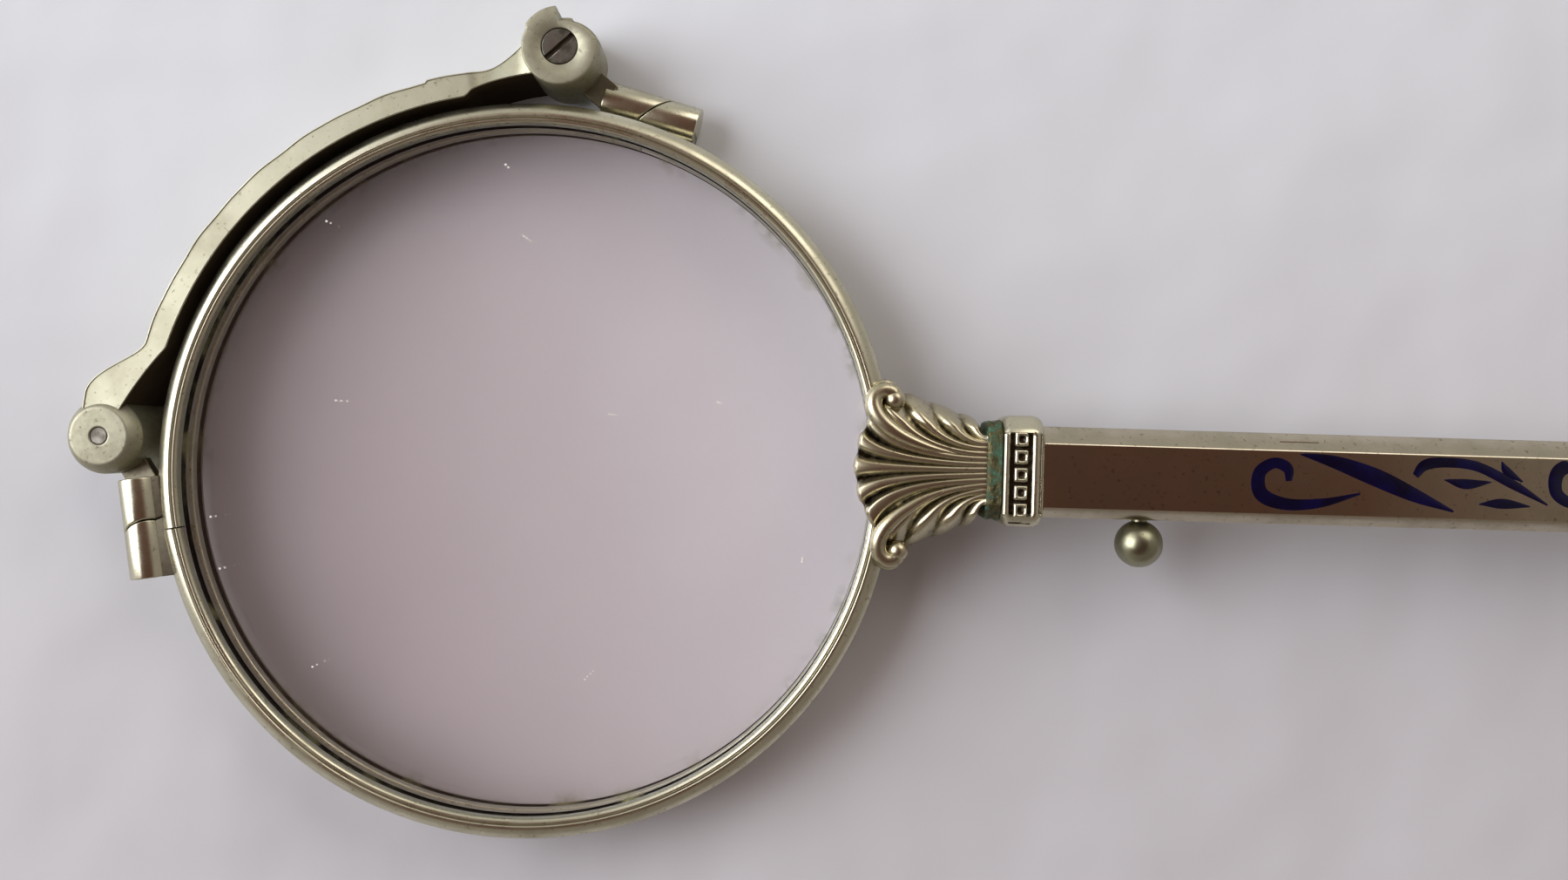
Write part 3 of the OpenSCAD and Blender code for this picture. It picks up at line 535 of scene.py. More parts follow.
def lensShell():
    # biconvex disc: each face is a shallow parabola, and the edge is a bevel that sits in the groove
    inner = rimRadius - rim["wall"] - 0.01
    r = np.linspace(0.02, inner, lens["rings"])
    face = lens["edgeHeight"] / 2 + lens["dome"] * (1 - (r / inner) ** 2)
    seat = inner + lens["bevel"] - 0.03
    bevel = [[inner + 0.02, lens["bevel"]], [seat, 0.03], [seat, -0.03], [inner + 0.02, -lens["bevel"]]]
    profile = np.vstack([np.column_stack([r, face]), bevel, np.column_stack([r, -face])[::-1]])
    points, faces = lathe(profile, 256)
    return points + [0, 0, frontHeight], faces


# Closing blocks

block = {
    "start": 2.1,            # mm, distance from the hinge to the barrel
    "length": 5.3,
    "near": 2.85,            # length of the half with the lug
    "lean": 12,              # degrees that the barrel turns in to follow the rim
    "slants": {"front": (0.3, -0.5), "rear": (0.85, 0.2)},   # slope of the slit, outwards and upwards
    "slit": 0.09,
    "seat": 0.62,            # half height of the seat soldered to the rim
    "screwRadius": 0.38,
    "headRadius": 0.65,
    "headHeight": 0.5,
    "slotDepth": 0.25,
    "slot": 0.26,
    "lugWidth": 1.5,
    "lugHeight": 0.6,
    "eye": 1.25,             # radius of the lug's end round the hinge
}


def alongBarrel(points):
    # outline's first axis outwards, second axis up, third axis along the barrel away from the hinge
    # the barrel leans in to the rim about its near end
    lean, out, along = math.radians(block["lean"]), points[:, 0], points[:, 2] - block["start"]
    x = out * math.cos(lean) - along * math.sin(lean) + barrelLine - pivotRadius
    y = out * math.sin(lean) + along * math.cos(lean) + block["start"]
    return atHinge(np.column_stack([x, y, points[:, 1] + frontHeight]))


def barrelHalf(start, end, slantLow=(0, 0), slantHigh=(0, 0)):
    # the barrel itself and the seat under it, which reaches down to the curving rim
    round_ = circle(barrelRadius - 0.002, 72)
    depth = barrelLine - np.sqrt(rimRadius ** 2 - end ** 2) + 0.1
    depth -= (end - block["start"]) * math.sin(math.radians(block["lean"]))
    seat = np.array([[-depth, -block["seat"]], [-0.3, -block["seat"] - 0.12], [-0.3, block["seat"] + 0.12],
                     [-depth, block["seat"]]])
    seat = roundedCorners(seat, 0.05)
    shells = [roundedPrism(outline, start, end, edge, slantLow=slantLow, slantHigh=slantHigh)
              for outline, edge in ((round_, 0.07), (seat, 0.05))]
    return placeShells(shells, alongBarrel)


def blockShells(slant):
    # the half with the lug, whose flat arm ends in an eye round the hinge, and the half beyond the slit
    start, split, end = block["start"], block["start"] + block["near"], block["start"] + block["length"]
    near = barrelHalf(start, split - block["slit"] / 2, slantHigh=slant)
    far = barrelHalf(split + block["slit"] / 2, end, slantLow=slant)
    lug = frontHeight - barrelRadius + 0.1
    eye = roundedPrism(circle(block["eye"], 48), lug, lug + block["lugHeight"], 0.04)
    reach = np.array([barrelLine - pivotRadius, start + 0.3])
    ahead = reach / np.linalg.norm(reach)
    side = np.array([-ahead[1], ahead[0]]) * block["lugWidth"] / 2
    arm = np.array([-side, reach - side, reach + side, side])
    near += placeShells([eye, roundedPrism(arm, lug, lug + block["lugHeight"], 0.04)], atHinge)
    return near, far


def slottedHead(radius, low, high, slot, depth):
    # screw head: a base disc and two cheeks with the slot between them
    a = np.linspace(-1, 1, 33) * math.acos(slot / 2 / radius)
    cheek = np.column_stack([radius * np.cos(a), radius * np.sin(a)])
    shells = [roundedPrism(circle(radius, 64), low, high - depth, 0.01)]
    for sign in (1, -1):
        shells.append(roundedPrism(cheek * sign, high - depth - 0.02, high, 0.04))
    return shells


def blockScrewShells():
    # closing screw along the barrel, its slotted head sunk in the far end
    end = block["start"] + block["length"] - 0.05
    shank = roundedPrism(circle(block["screwRadius"], 32), block["start"] + 1.1, end - 0.3, 0.05)
    head = slottedHead(block["headRadius"], end - block["headHeight"], end, block["slot"], block["slotDepth"])
    return placeShells([shank] + head, alongBarrel)


# Bridge bar

bridge = {
    "wall": 1.15,            # mm, radial
    "gap": 0.47,             # from the rims
    "drop": 0.16,            # below the drums' faces
    "drum": 2.0,             # radius
    "flareReach": 14.2,      # degrees before a hinge where the flare starts
    "flareSpan": 11,
    "flareRise": 2.38,       # mm that the outer side swings out
    "flareLift": 1.7,        # and the inner side near the handle's hinge
    "end": 3.4,              # degrees before a hinge where the bar ends, inside its drum
    "edge": 0.025,
    "wave": 0.022,           # height of the file's waves
    "nick": 0.12,            # height of the step at the nick
    "nickAt": (18.8, 19.1),  # degrees before the far hinge
    "glare": 0.42,           # how far the outer side falls at the far flare, where the window glares
    "rows": 260,
}


def barShell():
    # flat bar in plan: two arcs about the lens centre that swing out into the drums at both ends.
    # Near the handle's hinge the outer side rises early as a soft step, at the other as a steep power.
    # Filing by hand left a slow wave on the outer side, and a nick near the far hinge
    inner, outer = rimRadius + bridge["gap"], rimRadius + bridge["gap"] + bridge["wall"]
    half = spanAngle / 2 - bridge["end"]
    a = np.linspace(-half, half, bridge["rows"])
    toHinge = spanAngle / 2 - np.abs(a)
    s = np.clip((bridge["flareReach"] - toHinge) / bridge["flareSpan"], 0, 1)
    near = a > 0
    rise = bridge["flareRise"] * np.where(near, smooth(s, 0, 0.8), s ** 2.4)
    lift = np.where(near, bridge["flareLift"] * s, s ** 0.6 * smooth(s, 0, 0.15))
    rise += bridge["wave"] * (np.sin(a * 0.55) + 0.6 * np.sin(a * 0.93 + 1)) * (1 - s)
    rise += bridge["nick"] * (1 - smooth(toHinge, *bridge["nickAt"])) * smooth(toHinge, 10, 17) * ~near
    angle = np.radians(foldAngle + a)
    ray = np.column_stack([np.cos(angle), np.sin(angle)])
    low, high = barLow[2] + bridge["drop"], barHigh[2] - bridge["drop"]
    first, last = inner + lift, outer + rise
    e = bridge["edge"]
    bend = np.radians(np.linspace(0, 90, 5))
    corner = [(e * 2, 0)] + [(e * (1 - math.sin(t)), e * (1 - math.cos(t))) for t in bend] + [(0, e * 2)]
    glare = bridge["glare"] * smooth(s, 0.1, 0.45) * (1 - smooth(s, 0.75, 1)) * ~near
    ring = [(first + x, low + z) for x, z in corner[::-1]] + [(first + x, high - z) for x, z in corner]
    ring += [(last - x, high - glare - z) for x, z in corner[::-1]] + [(last - x, low + z) for x, z in corner]
    grid = np.stack([np.column_stack([ray * r[:, None], z + 0 * a]) for r, z in ring], 1)
    # painted shade: the columns of the bar's inner side, towards the rim, carry the mark for the dark colour
    marks = np.zeros(grid.shape[:2])
    marks[:, :len(corner) + 2] = 1
    return shellFromGrid(grid), marks


drum = {
    "face": 1.52,            # mm, radius of the chamfered face
    "chamfer": 0.62,
    "lobe": 2.14,            # radius of the lobe at the back
    "lobeFrom": -65,         # degrees from the line away from the lens centre
    "lobeTo": 8,
    "notch": 1.36,           # radius at the bottom of the notch
    "notchFrom": -10,
    "notchSpan": 84,
    "notchDepth": 1.9,
    "headHole": 0.965,       # radius of the recess for the screw's head
    "headDepth": 0.6,
    "pinHole": 0.475,
    "columns": 360,
    "soft": 1.2,             # degrees that a step takes
    "slotAngle": 44,         # direction of the screw's slot
    "tarnish": 0.45,         # duller than the bar
}


def drumShell():
    # the handle's drum about its own axis: chamfered in front, and at the back a lobe, a notch and the
    # screw head's recess. Each column of the grid is a profile of radius and height. The notch steps in
    # beside the lobe and comes out again as a parabola of the angle
    low, high = barLow[2], barHigh[2]
    a = np.linspace(-180, 180, drum["columns"], endpoint=False)
    soft = drum["soft"]
    lobe = smooth(a, drum["lobeFrom"] - soft, drum["lobeFrom"] + 3 * soft)
    lobe = lobe * (1 - smooth(a, drum["lobeTo"] - 3 * soft, drum["lobeTo"]))
    notch = smooth(a, drum["notchFrom"], drum["notchFrom"] + soft)
    notch = notch * (1 - np.clip((a - drum["notchFrom"]) / drum["notchSpan"], 0, 1) ** 2)
    wide = bridge["drum"] + (drum["lobe"] - bridge["drum"]) * lobe
    back = wide + (drum["notch"] - wide) * notch
    plain = bridge["drum"]
    middle = (low + high) / 2
    step = low + drum["notchDepth"]
    hole, pin, face, floor_ = drum["headHole"], drum["pinHole"], drum["face"], low + drum["headDepth"]
    columns = [
        (0.02, floor_), (hole - 0.02, floor_), (hole, floor_ - 0.02),
        (hole, low + 0.04), (hole + 0.04, low), (back - 0.12, low), (back - 0.05, low + 0.015),
        (back - 0.015, low + 0.05), (back, low + 0.12), (back, step - 0.03), (back + 0.02 * notch, step),
        (wide - 0.04 * notch, step + 0.001), (wide, step + 0.04), (wide, middle - 0.03),
        (wide - 0.03 * lobe, middle), (plain, middle + 0.001), (plain, high - drum["chamfer"] - 0.1),
        (plain - 0.03, high - drum["chamfer"]), (face + 0.06, high - 0.06), (face - 0.03, high - 0.005),
        (face - 0.12, high), (pin + 0.09, high), (pin + 0.04, high), (pin, high - 0.03), (pin, high - 0.2),
        (0.02, high - 0.2),
    ]
    rad = np.radians(a)
    rows = [np.column_stack([r * np.cos(rad), r * np.sin(rad), np.full_like(a, z)]) for r, z in columns]
    points, faces = shellFromGrid(np.array(rows))
    return atHinge(points), faces


hingeScrew = {
    "head": 0.55,            # mm, height
    "slot": 0.26,
    "slotDepth": 0.25,
    "play": 0.015,           # round the pin
}


def hingeScrewShells():
    # slotted head at the back of the handle's drum, and the end of its pin in front
    screwLow, screwHigh = nodeBox("handle_hinge_screw")
    low, high, radius = screwLow[2], screwHigh[2], (screwHigh[0] - screwLow[0]) / 2
    c, s = unit(drum["slotAngle"])
    shells = []
    head = slottedHead(radius, -low - hingeScrew["head"], -low, hingeScrew["slot"], hingeScrew["slotDepth"])
    for points, faces in head:
        x, y, z = points.T
        shells.append((np.column_stack([s * x + c * y, -c * x + s * y, -z]), faces))
    shells.append(roundedPrism(circle(drum["pinHole"] - hingeScrew["play"], 40), low + 0.5, high, 0.06))
    return placeShells(shells, atHinge)


rimSurface = rimShell()
# painted reflection: the inner side, round the lens, is coloured a pale grey-green that stands in for the light it
# mirrors there
rimPaintedReflection = {"paintedLightAndSoil": 1.0 * (np.hypot(*rimSurface[0][:, :2].T) < rimRadius - rim["wall"] + 0.03)
           * (rimSurface[0][:, 2] < frontHeight + rimHalf - 0.25)}
makePiece("frontRim", [rimSurface], "handle", ["front_rim"], rimMetal, rimPaintedReflection)
makePiece("rearRim", placeShells([rimSurface], halfTurn), "rear_frame", ["rear_rim"], rimMetal, rimPaintedReflection)
makePiece("frontLens", [lensShell()], "handle", ["front_lens"], glass)
makePiece("rearLens", placeShells([lensShell()], halfTurn), "rear_frame", ["rear_lens"], glass)
for side, body, move in (("front", "handle", lambda p: p), ("rear", "rear_frame", halfTurn)):
    for part, shells in zip(("Near", "Far"), blockShells(block["slants"][side])):
        # painted shade: the seat and the lug under the bare barrel are darkened
        blockPaintedShade = np.concatenate([np.full(len(points), 0.7 * (k > 0)) for k, (points, faces) in enumerate(shells)])
        makePiece(side + "Block" + part, placeShells(shells, move), body, [side + "_block_" + part.lower()],
                  blockMetal, {"paintedLightAndSoil": blockPaintedShade})
    makePiece(side + "BlockScrew", placeShells(blockScrewShells(), move), body, [side + "_block_screw"],
              screwSteel)
barSurface, barPaintedShade = barShell()
drums = [drumShell()] + placeShells([drumShell()], halfTurn)
drumMarks = np.concatenate([np.full(len(points), drum["tarnish"]) for points, faces in drums])
makePiece("bridgeBar", [barSurface] + drums, "bridge", ["bridge_bar"], bridgeMetal,
          {"paintedLightAndSoil": np.concatenate([barPaintedShade.ravel(), drumMarks])})
makePiece("handleHingeScrew", hingeScrewShells(), "bridge", ["handle_hinge_screw"], screwSteel)
makePiece("outerHingeScrew", placeShells(hingeScrewShells(), halfTurn), "bridge", ["outer_hinge_screw"],
          screwSteel)
print("rims, lenses, blocks and bridge made")


# Palmette

palmette = {
    "lobes": 6,              # on each side of the middle one
    "root": 24.0,            # mm from the lens centre
    # x and distance from the axis of each lobe's tip, from the middle lobe outwards
    "upperTips": [(17.25, 0.0), (17.5, 1.5), (18.0, 2.55), (18.7, 3.95), (20.25, 3.85), (21.9, 3.3), (23.35, 2.75),
                  (23.9, 2.5)],
    "lowerTips": [(17.25, 0.0), (17.52, 1.55), (18.05, 2.65), (19.1, 4.45), (20.6, 4.05), (22.15, 3.45), (23.45, 2.9),
                  (23.9, 2.6)],
    "rootStep": 0.27,        # spacing of the lobes at the root
    "flute": 0.46,           # depth between lobes
    "rise": 1.5,             # of the ribs at the root above the axis
    "rows": 110,
    "perLobe": 24,
    "back": 2.35,            # height of the underside, beyond the rim
}


def atHandle(points):
    # from the handle's frame, axis at y 0, to the lens frame
    return points + [0, handleAxis[0], 0]


def palmetteGrid():
    # u counts lobes from the middle one, v runs from the root to the tips. Each flow line is a quadratic
    # curve from the root to its tip. A lobe's section is a round rib, 1 - |2t|^p with p from 2 at the sides
    # to 2.8 in front, and the front lobes open at the tip into a narrower rib between wide flutes
    lobes = palmette["lobes"]
    u = np.linspace(-lobes - 0.5, lobes + 0.5, (2 * lobes + 1) * palmette["perLobe"] + 1)
    v = np.linspace(0, 1, palmette["rows"])
    u, v = np.meshgrid(u, v)
    w = np.abs(u)
    t = w - np.round(w)
    front = 1 - smooth(w, 2.3, 3.4)
    crest = 1 - np.abs(2 * t) ** mix(2.0, 2.8, front)
    open_ = 1 - 0.75 * smooth(np.abs(2 * t), 0.35, 0.98) - 0.25 * (2 * t) ** 2
    crest = mix(crest, open_, front * smooth(v, 0.4, 0.95))
    count = np.arange(lobes + 2)
    tips = [[np.interp(w, count, np.array(palmette[key])[:, k]) for k in (0, 1)]
            for key in ("lowerTips", "upperTips")]
    tipX, tipY = [np.where(u < 0, low, high) for low, high in zip(*tips)]
    rootX, rootY = palmette["root"], palmette["rootStep"] * w
    length = np.hypot(tipX - rootX, tipY - rootY)
    bulge = mix(0.24, 0.1, front) * (crest - 0.5)
    edgeX = tipX + (tipX - rootX) / length * bulge
    edgeY = tipY + (tipY - rootY) / length * bulge
    turnX, turnY = mix(rootX, tipX, 0.86), mix(rootY, tipY, 0.08)
    x = (1 - v) ** 2 * rootX + 2 * v * (1 - v) * turnX + v ** 2 * edgeX
    y = (1 - v) ** 2 * rootY + 2 * v * (1 - v) * turnY + v ** 2 * edgeY
    start = mix(0.62, 0.94, front)
    fall = np.clip((v - start) / (1 - start), 0, 1)
    drop = mix(2.1, 0.34, front) * (1 - np.sqrt(1 - fall ** 2 * 0.995))
    top = handleAxis[1] + palmette["rise"] - 0.38 * v - 0.25 * front * v ** 2
    depth = palmette["flute"] * (1 - crest) * (1 - 0.45 * fall)
    depth = depth * mix(smooth(v, -0.1, 0.6), smooth(v, -0.15, 0.8), front)
    over = np.hypot(x, y * np.sign(u) + handleAxis[0]) < rimRadius + 0.02
    under = np.where(over, rimHigh[2] + 0.02, palmette["back"])
    z = np.maximum(top - drop - depth, under + 0.05)
    # painted shade: the flutes between the lobes are darkened, most at the front tips and less on the falling flanks
    paintedLightAndSoil = (1 - crest) * mix(0.62, 1, front * smooth(v, 0.45, 0.9)) * smooth(v, -0.1, 0.5)
    paintedLightAndSoil = paintedLightAndSoil * (1 - 0.4 * fall * (1 - front))
    return np.stack([x, y * np.sign(u), z], -1), under, paintedLightAndSoil


volute = {
    # x, distance from the axis, height and radius of the rib that turns over at each corner
    "upper": [(22.6, 0.75, 5.5, 0.05), (21.0, 1.1, 5.5, 0.24), (19.6, 1.65, 5.44, 0.38),
              (18.62, 2.35, 5.34, 0.46), (18.18, 3.05, 5.22, 0.48), (18.22, 3.62, 5.12, 0.46),
              (18.62, 3.95, 5.06, 0.44), (19.1, 3.88, 5.04, 0.44), (19.25, 3.5, 5.04, 0.46)],
    "lower": [(22.6, 0.85, 5.48, 0.05), (21.1, 1.45, 5.44, 0.22), (19.9, 2.2, 5.38, 0.34),
              (19.05, 2.95, 5.3, 0.42), (18.62, 3.7, 5.2, 0.44), (18.64, 4.38, 5.1, 0.43),
              (19.0, 4.78, 5.06, 0.42), (19.45, 4.72, 5.04, 0.42), (19.62, 4.3, 5.04, 0.46)],
    "bulb": 0.55,            # radius of the round end
    "post": 0.78,            # radius of what stands under it
}


def voluteShells():
    # the third rib on each side swells, turns over at the corner and ends in a round bulb
    shells = []
    b = np.radians(np.linspace(2, 178, 20))
    ball, ballFaces = lathe(volute["bulb"] * np.column_stack([np.sin(b), np.cos(b)]), 32)
    for key, side in (("upper", 1), ("lower", -1)):
        line = through(volute[key], 110)
        shells.append(tubeAlong(line[:, :3] * [1, side, 1], np.maximum(line[:, 3], 0.02), 24))
        end, middle = line[-1], line[66:].mean(0)
        shells.append((ball + [end[0], side * end[1], end[2]], ballFaces))
        outline = circle(volute["post"], 64, (middle[0], side * middle[1]))
        shells.append(roundedPrism(outline, palmette["back"], 4.72, 0.25))
    return placeShells(shells, atHandle)


# the relief above, and an underside that steps down where the rim ends
relief, reliefLow, reliefPaintedShade = palmetteGrid()
palmetteParts = placeShells([solidFromRelief(relief, reliefLow)], atHandle) + voluteShells()
palmettePaintedShade = np.zeros(sum(len(points) for points, faces in palmetteParts))
palmettePaintedShade[:reliefPaintedShade.size] = reliefPaintedShade.ravel()
makePiece("palmetteRelief", palmetteParts, "handle", ["palmette"], chasedMetal,
          {"paintedLightAndSoil": palmettePaintedShade})
print("palmette made")


# Neck, collar, handle, cap

collar = {
    "x": 24.75,              # mm from the lens centre
    "length": 2.15,
    "halfWidth": 2.88,
    "halfHeight": 1.9,
    "upper": 0.82,           # width of the shoulder above
    "lower": 0.5,            # and below
    "row": 0.98,
    "rowAt": -0.14,          # from the middle, towards the neck
    "beads": 5,
    "dome": 0.27,            # height of a bead
    "dimple": 0.22,          # depth of the square sunk in it
    "depth": 0.28,
}


def sectionOutline(halfWidth, halfHeight, upper, lower, bend):
    # chamfered section seen from the right: first axis across, second up
    corners = [(halfWidth - upper, halfHeight), (lower - halfWidth, halfHeight), (-halfWidth, halfHeight - lower),
               (-halfWidth, lower - halfHeight), (lower - halfWidth, -halfHeight), (halfWidth - upper, -halfHeight),
               (halfWidth, upper - halfHeight), (halfWidth, halfHeight - upper)]
    return roundedCorners(corners, bend)


def alongHandle(points):
    # outline across and up, third axis along the handle
    return np.column_stack([points[:, 2], points[:, 0] + handleAxis[0], points[:, 1] + handleAxis[1]])


def turnedProfile(section, profile):
    # section scaled along the handle: profile gives x and how far the surface stands in from the section,
    # one number or one for each point
    rings = [np.column_stack([insetOutline(section, inset), np.full(len(section), x)]) for x, inset in profile]
    points, faces = shellFromGrid(np.array(rings))
    return alongHandle(points), faces


def roundBand(x, width, rise, base, steps=8):
    # half-round moulding: inset falls from base to base - rise along a half ellipse
    s = np.linspace(0, math.pi, steps + 1)
    return [(x + width / 2 * (1 - math.cos(a)), base - rise * math.sin(a)) for a in s]


def collarShells():
    section = sectionOutline(collar["halfWidth"], collar["halfHeight"], collar["upper"], collar["lower"], 0.28)
    x, length, row = collar["x"], collar["length"], collar["row"]
    land = (length - row) / 2 + collar["rowAt"]
    profile = [(x, 0.5)] + roundBand(x, land - 0.04, 0.3, 0.3)
    profile += [(x + land, collar["depth"]), (x + land + row, collar["depth"])]
    profile += roundBand(x + land + row + 0.04, length - land - row - 0.24, 0.26, 0.3)
    profile += roundBand(x + length - 0.2, 0.2, 0.08, 0.34, 4) + [(x + length, 0.5)]
    # the row is cut into the flat faces only; the shoulders swell as one round, 0.36 * |2t - 1|^5 inwards
    flat = np.abs(section[:, 1:]) > collar["halfHeight"] - 0.01
    profile = [(place, np.where(flat, inset, 0.36 * abs(2 * (place - x) / length - 1) ** 5))
               for place, inset in profile]
    shells = [turnedProfile(section, profile)]
    left, right = -collar["halfWidth"] + collar["lower"] - 0.08, collar["halfWidth"] - collar["upper"] + 0.04
    step = (right - left) / collar["beads"]
    s, t = np.meshgrid(np.linspace(-1, 1, 21), np.linspace(-1, 1, 21))
    # square bead: a dome (1 - s^6)(1 - t^8) with a sunk square in its middle
    dome = (1 - np.abs(s) ** 6) * (1 - np.abs(t) ** 8)
    dimple = np.exp(-((s - 0.1) ** 4 + t ** 4) / 0.045)
    for face in (1, -1):
        for k in range(collar["beads"]):
            centre = left + (k + 0.5) * step
            bx = x + land + row / 2 + s * row * 0.4
            by = centre + t * step * 0.46
            rise = collar["halfHeight"] - collar["depth"] + collar["dome"] * dome - collar["dimple"] * dimple
            top = np.stack([bx, by + handleAxis[0], face * rise + handleAxis[1]], -1)
            low = handleAxis[1] + face * (collar["halfHeight"] - collar["depth"] - 0.05)
            shells.append(solidFromRelief(top, low))
    return shells


def collarPaintedShade(shells):
    # painted shade in the bead row's floor and in each bead's sunk middle
    marks = []
    middle = collar["x"] + collar["length"] / 2 + collar["rowAt"]
    for index, (points, faces) in enumerate(shells):
        if index == 0:
            floor_ = np.abs(np.abs(points[:, 2] - handleAxis[1]) - collar["halfHeight"] + collar["depth"]) < 0.05
            marks.append(1.0 * floor_ * (np.abs(points[:, 0] - middle) < collar["row"] / 2 + 0.06))
        else:
            height = np.abs(points[:, 2] - handleAxis[1]) - (collar["halfHeight"] - collar["depth"])
            marks.append(1 - smooth(height, 0.08, 0.24))
    return {"paintedLightAndSoil": np.concatenate(marks)}


neck = {
    "x": nodeBox("neck_ring")[0][0] - lensCentre[0],
    "section": sectionOutline(2.62, 1.8, 0.75, 0.75, 0.3),
    # mm from its start, and how far it stands in
    "profile": [(0, 0.3), (0.02, 0.16), (0.18, 0.06), (0.4, 0.1), (0.6, 0.02), (0.72, 0.0), (0.76, 0.2)],
}
neckProfile = [(neck["x"] + along, inset) for along, inset in neck["profile"]]
makePiece("neckRing", [turnedProfile(neck["section"], neckProfile)], "handle", ["neck_ring"], verdigris)
collarParts = collarShells()
makePiece("beadedCollar", collarParts, "handle", ["beaded_collar"], mountMetal,
          collarPaintedShade(collarParts))

handle = {
    "wall": 0.42,            # mm
    "upper": 0.9,            # chamfer widths, above and below
    "lower": 0.52,
    "bend": 0.07,
}
tubeX = tubeLow[0] - lensCentre[0]
tubeEnd = tubeHigh[0] - lensCentre[0]
tubeHalfWidth = (tubeHigh[1] - tubeLow[1]) / 2
tubeHalfHeight = (tubeHigh[2] - tubeLow[2]) / 2


def tubeShell():
    # outer chamfered section, inner rectangular bore, joined at both ends
    outer = sectionOutline(tubeHalfWidth, tubeHalfHeight, handle["upper"], handle["lower"], handle["bend"])
    count = len(outer)
    a = np.arctan2(outer[:, 1], outer[:, 0])
    hw, hh = tubeHalfWidth - handle["wall"], tubeHalfHeight - handle["wall"]
    reach = 1 / np.maximum(np.abs(np.cos(a)) / hw, np.abs(np.sin(a)) / hh)
    inner = np.column_stack([reach * np.cos(a), reach * np.sin(a)])
    rows = []
    small = insetOutline(outer, 0.04)
    for section, x in ((small, [tubeX]), (outer, np.linspace(tubeX + 0.03, tubeEnd, 60)), (inner, [tubeEnd, tubeX])):
        rows += [np.column_stack([section, np.full(count, place)]) for place in x]
    rows.append(rows[0])
    points, faces = shellFromGrid(np.array(rows), caps=False)
    return alongHandle(points), faces


makePiece("handleTube", [tubeShell()], "handle", ["handle_tube"], handleMetal)

scroll = {
    "start": 10.6,           # mm from the collar
    "pitch": 15.2,
    "count": 5,
    "proud": 0.012,          # the glass stands a little above the metal
    "flat": (-1.7, 1.34),    # the flat face between the chamfers
    # each stroke's place along the handle, place across it and half width
    "strokes": [
        [(1.95, -0.1, 0.16), (1.85, 0.55, 0.28), (1.15, 0.8, 0.28), (0.42, 0.25, 0.33), (0.55, -0.8, 0.37),
         (1.8, -1.28, 0.31), (3.6, -1.18, 0.23), (5.6, -0.65, 0.06)],
        [(2.5, 1.3, 0.05), (4.3, 0.92, 0.33), (6.4, 0.2, 0.46), (8.4, -0.65, 0.35), (10.4, -1.42, 0.06)],
        [(8.4, 0.35, 0.18), (8.9, 0.92, 0.28), (10.0, 1.08, 0.26), (11.6, 0.9, 0.25), (13.4, 0.05, 0.24),
         (15.2, -0.95, 0.05)],
        [(9.9, 0.2, 0.04), (11.0, 0.0, 0.26), (12.3, 0.15, 0.04)],
        [(11.7, -1.0, 0.04), (12.9, -0.95, 0.26), (14.3, -1.05, 0.04)],
        [(12.8, 1.2, 0.04), (13.1, 0.7, 0.22), (13.9, 0.2, 0.04)],
    ],
}


def strokeShell(spots, count, mirror, shift):
    # tapered stroke: a smooth line with a half width at each spot, domed like fired glass
    line = through(spots, count) * [1, mirror, 1] + [shift, 0, 0]
    ahead = np.gradient(line[:, :2], axis=0)
    ahead /= np.linalg.norm(ahead, axis=1)[:, None]
    side = np.column_stack([-ahead[:, 1], ahead[:, 0]])
    across = np.linspace(-1, 1, 7)
    half = np.maximum(line[:, 2], 0.02)[:, None]
    plan = line[:, None, :2] + side[:, None] * (half * across)[..., None]
    plan[..., 1] = np.clip(plan[..., 1], *scroll["flat"])
    level = tubeHalfHeight + scroll["proud"] * (1 - across ** 2)
    top = np.concatenate([plan, np.broadcast_to(level, plan.shape[:2])[..., None]], -1)
    low = top.copy()
    low[..., 2] = tubeHalfHeight - 0.12
    points, faces = shellFromGrid(np.concatenate([top, low[:, ::-1]], 1))
    points = points + [tubeX + scroll["start"], 0, handleAxis[1]]
    return atHandle(points), faces


scrollShells = []
for k in range(scroll["count"]):
    for spots in scroll["strokes"]:
        last = scroll["start"] + k * scroll["pitch"] + spots[-1][0]
        if last < tubeEnd - tubeX - 1:
            scrollShells.append(strokeShell(spots, 12 * len(spots), 1 - 2 * (k % 2), k * scroll["pitch"]))
makePiece("enamelScrolls", scrollShells, "handle", ["enamel_scrolls"], enamel)
print("handle made")


# Ball knob, end cap and ring

ballLow, ballHigh = nodeBox("ball_knob")
ball = {"radius": (ballHigh[0] - ballLow[0]) / 2, "stem": 0.4}


def ballShells():
    # a sphere and its stem, both turned about the Y axis
    centre = np.array([(ballLow[0] + ballHigh[0]) / 2, ballLow[1] + ball["radius"], (ballLow[2] + ballHigh[2]) / 2])
    b = np.linspace(0.4, 179.6, 60)
    profile = np.column_stack([ball["radius"] * np.sin(np.radians(b)), ball["radius"] * np.cos(np.radians(b))])
    top, stem = ballHigh[1] - centre[1], ball["stem"]
    neck = [(0.001, top), (stem, top), (stem, ball["radius"] - 0.02), (stem, 0.5), (0.001, 0.5)]
    return [(points[:, [0, 2, 1]] + centre, faces) for points, faces in (lathe(profile, 96), lathe(neck, 96))]


makePiece("ballKnob", ballShells(), "catch", ["ball_knob"], ballMetal, place=False)

capHigh = nodeBox("end_cap")[1]
cap = {"eye": 1.1, "eyeHalf": 0.5, "hole": 0.62}     # mm


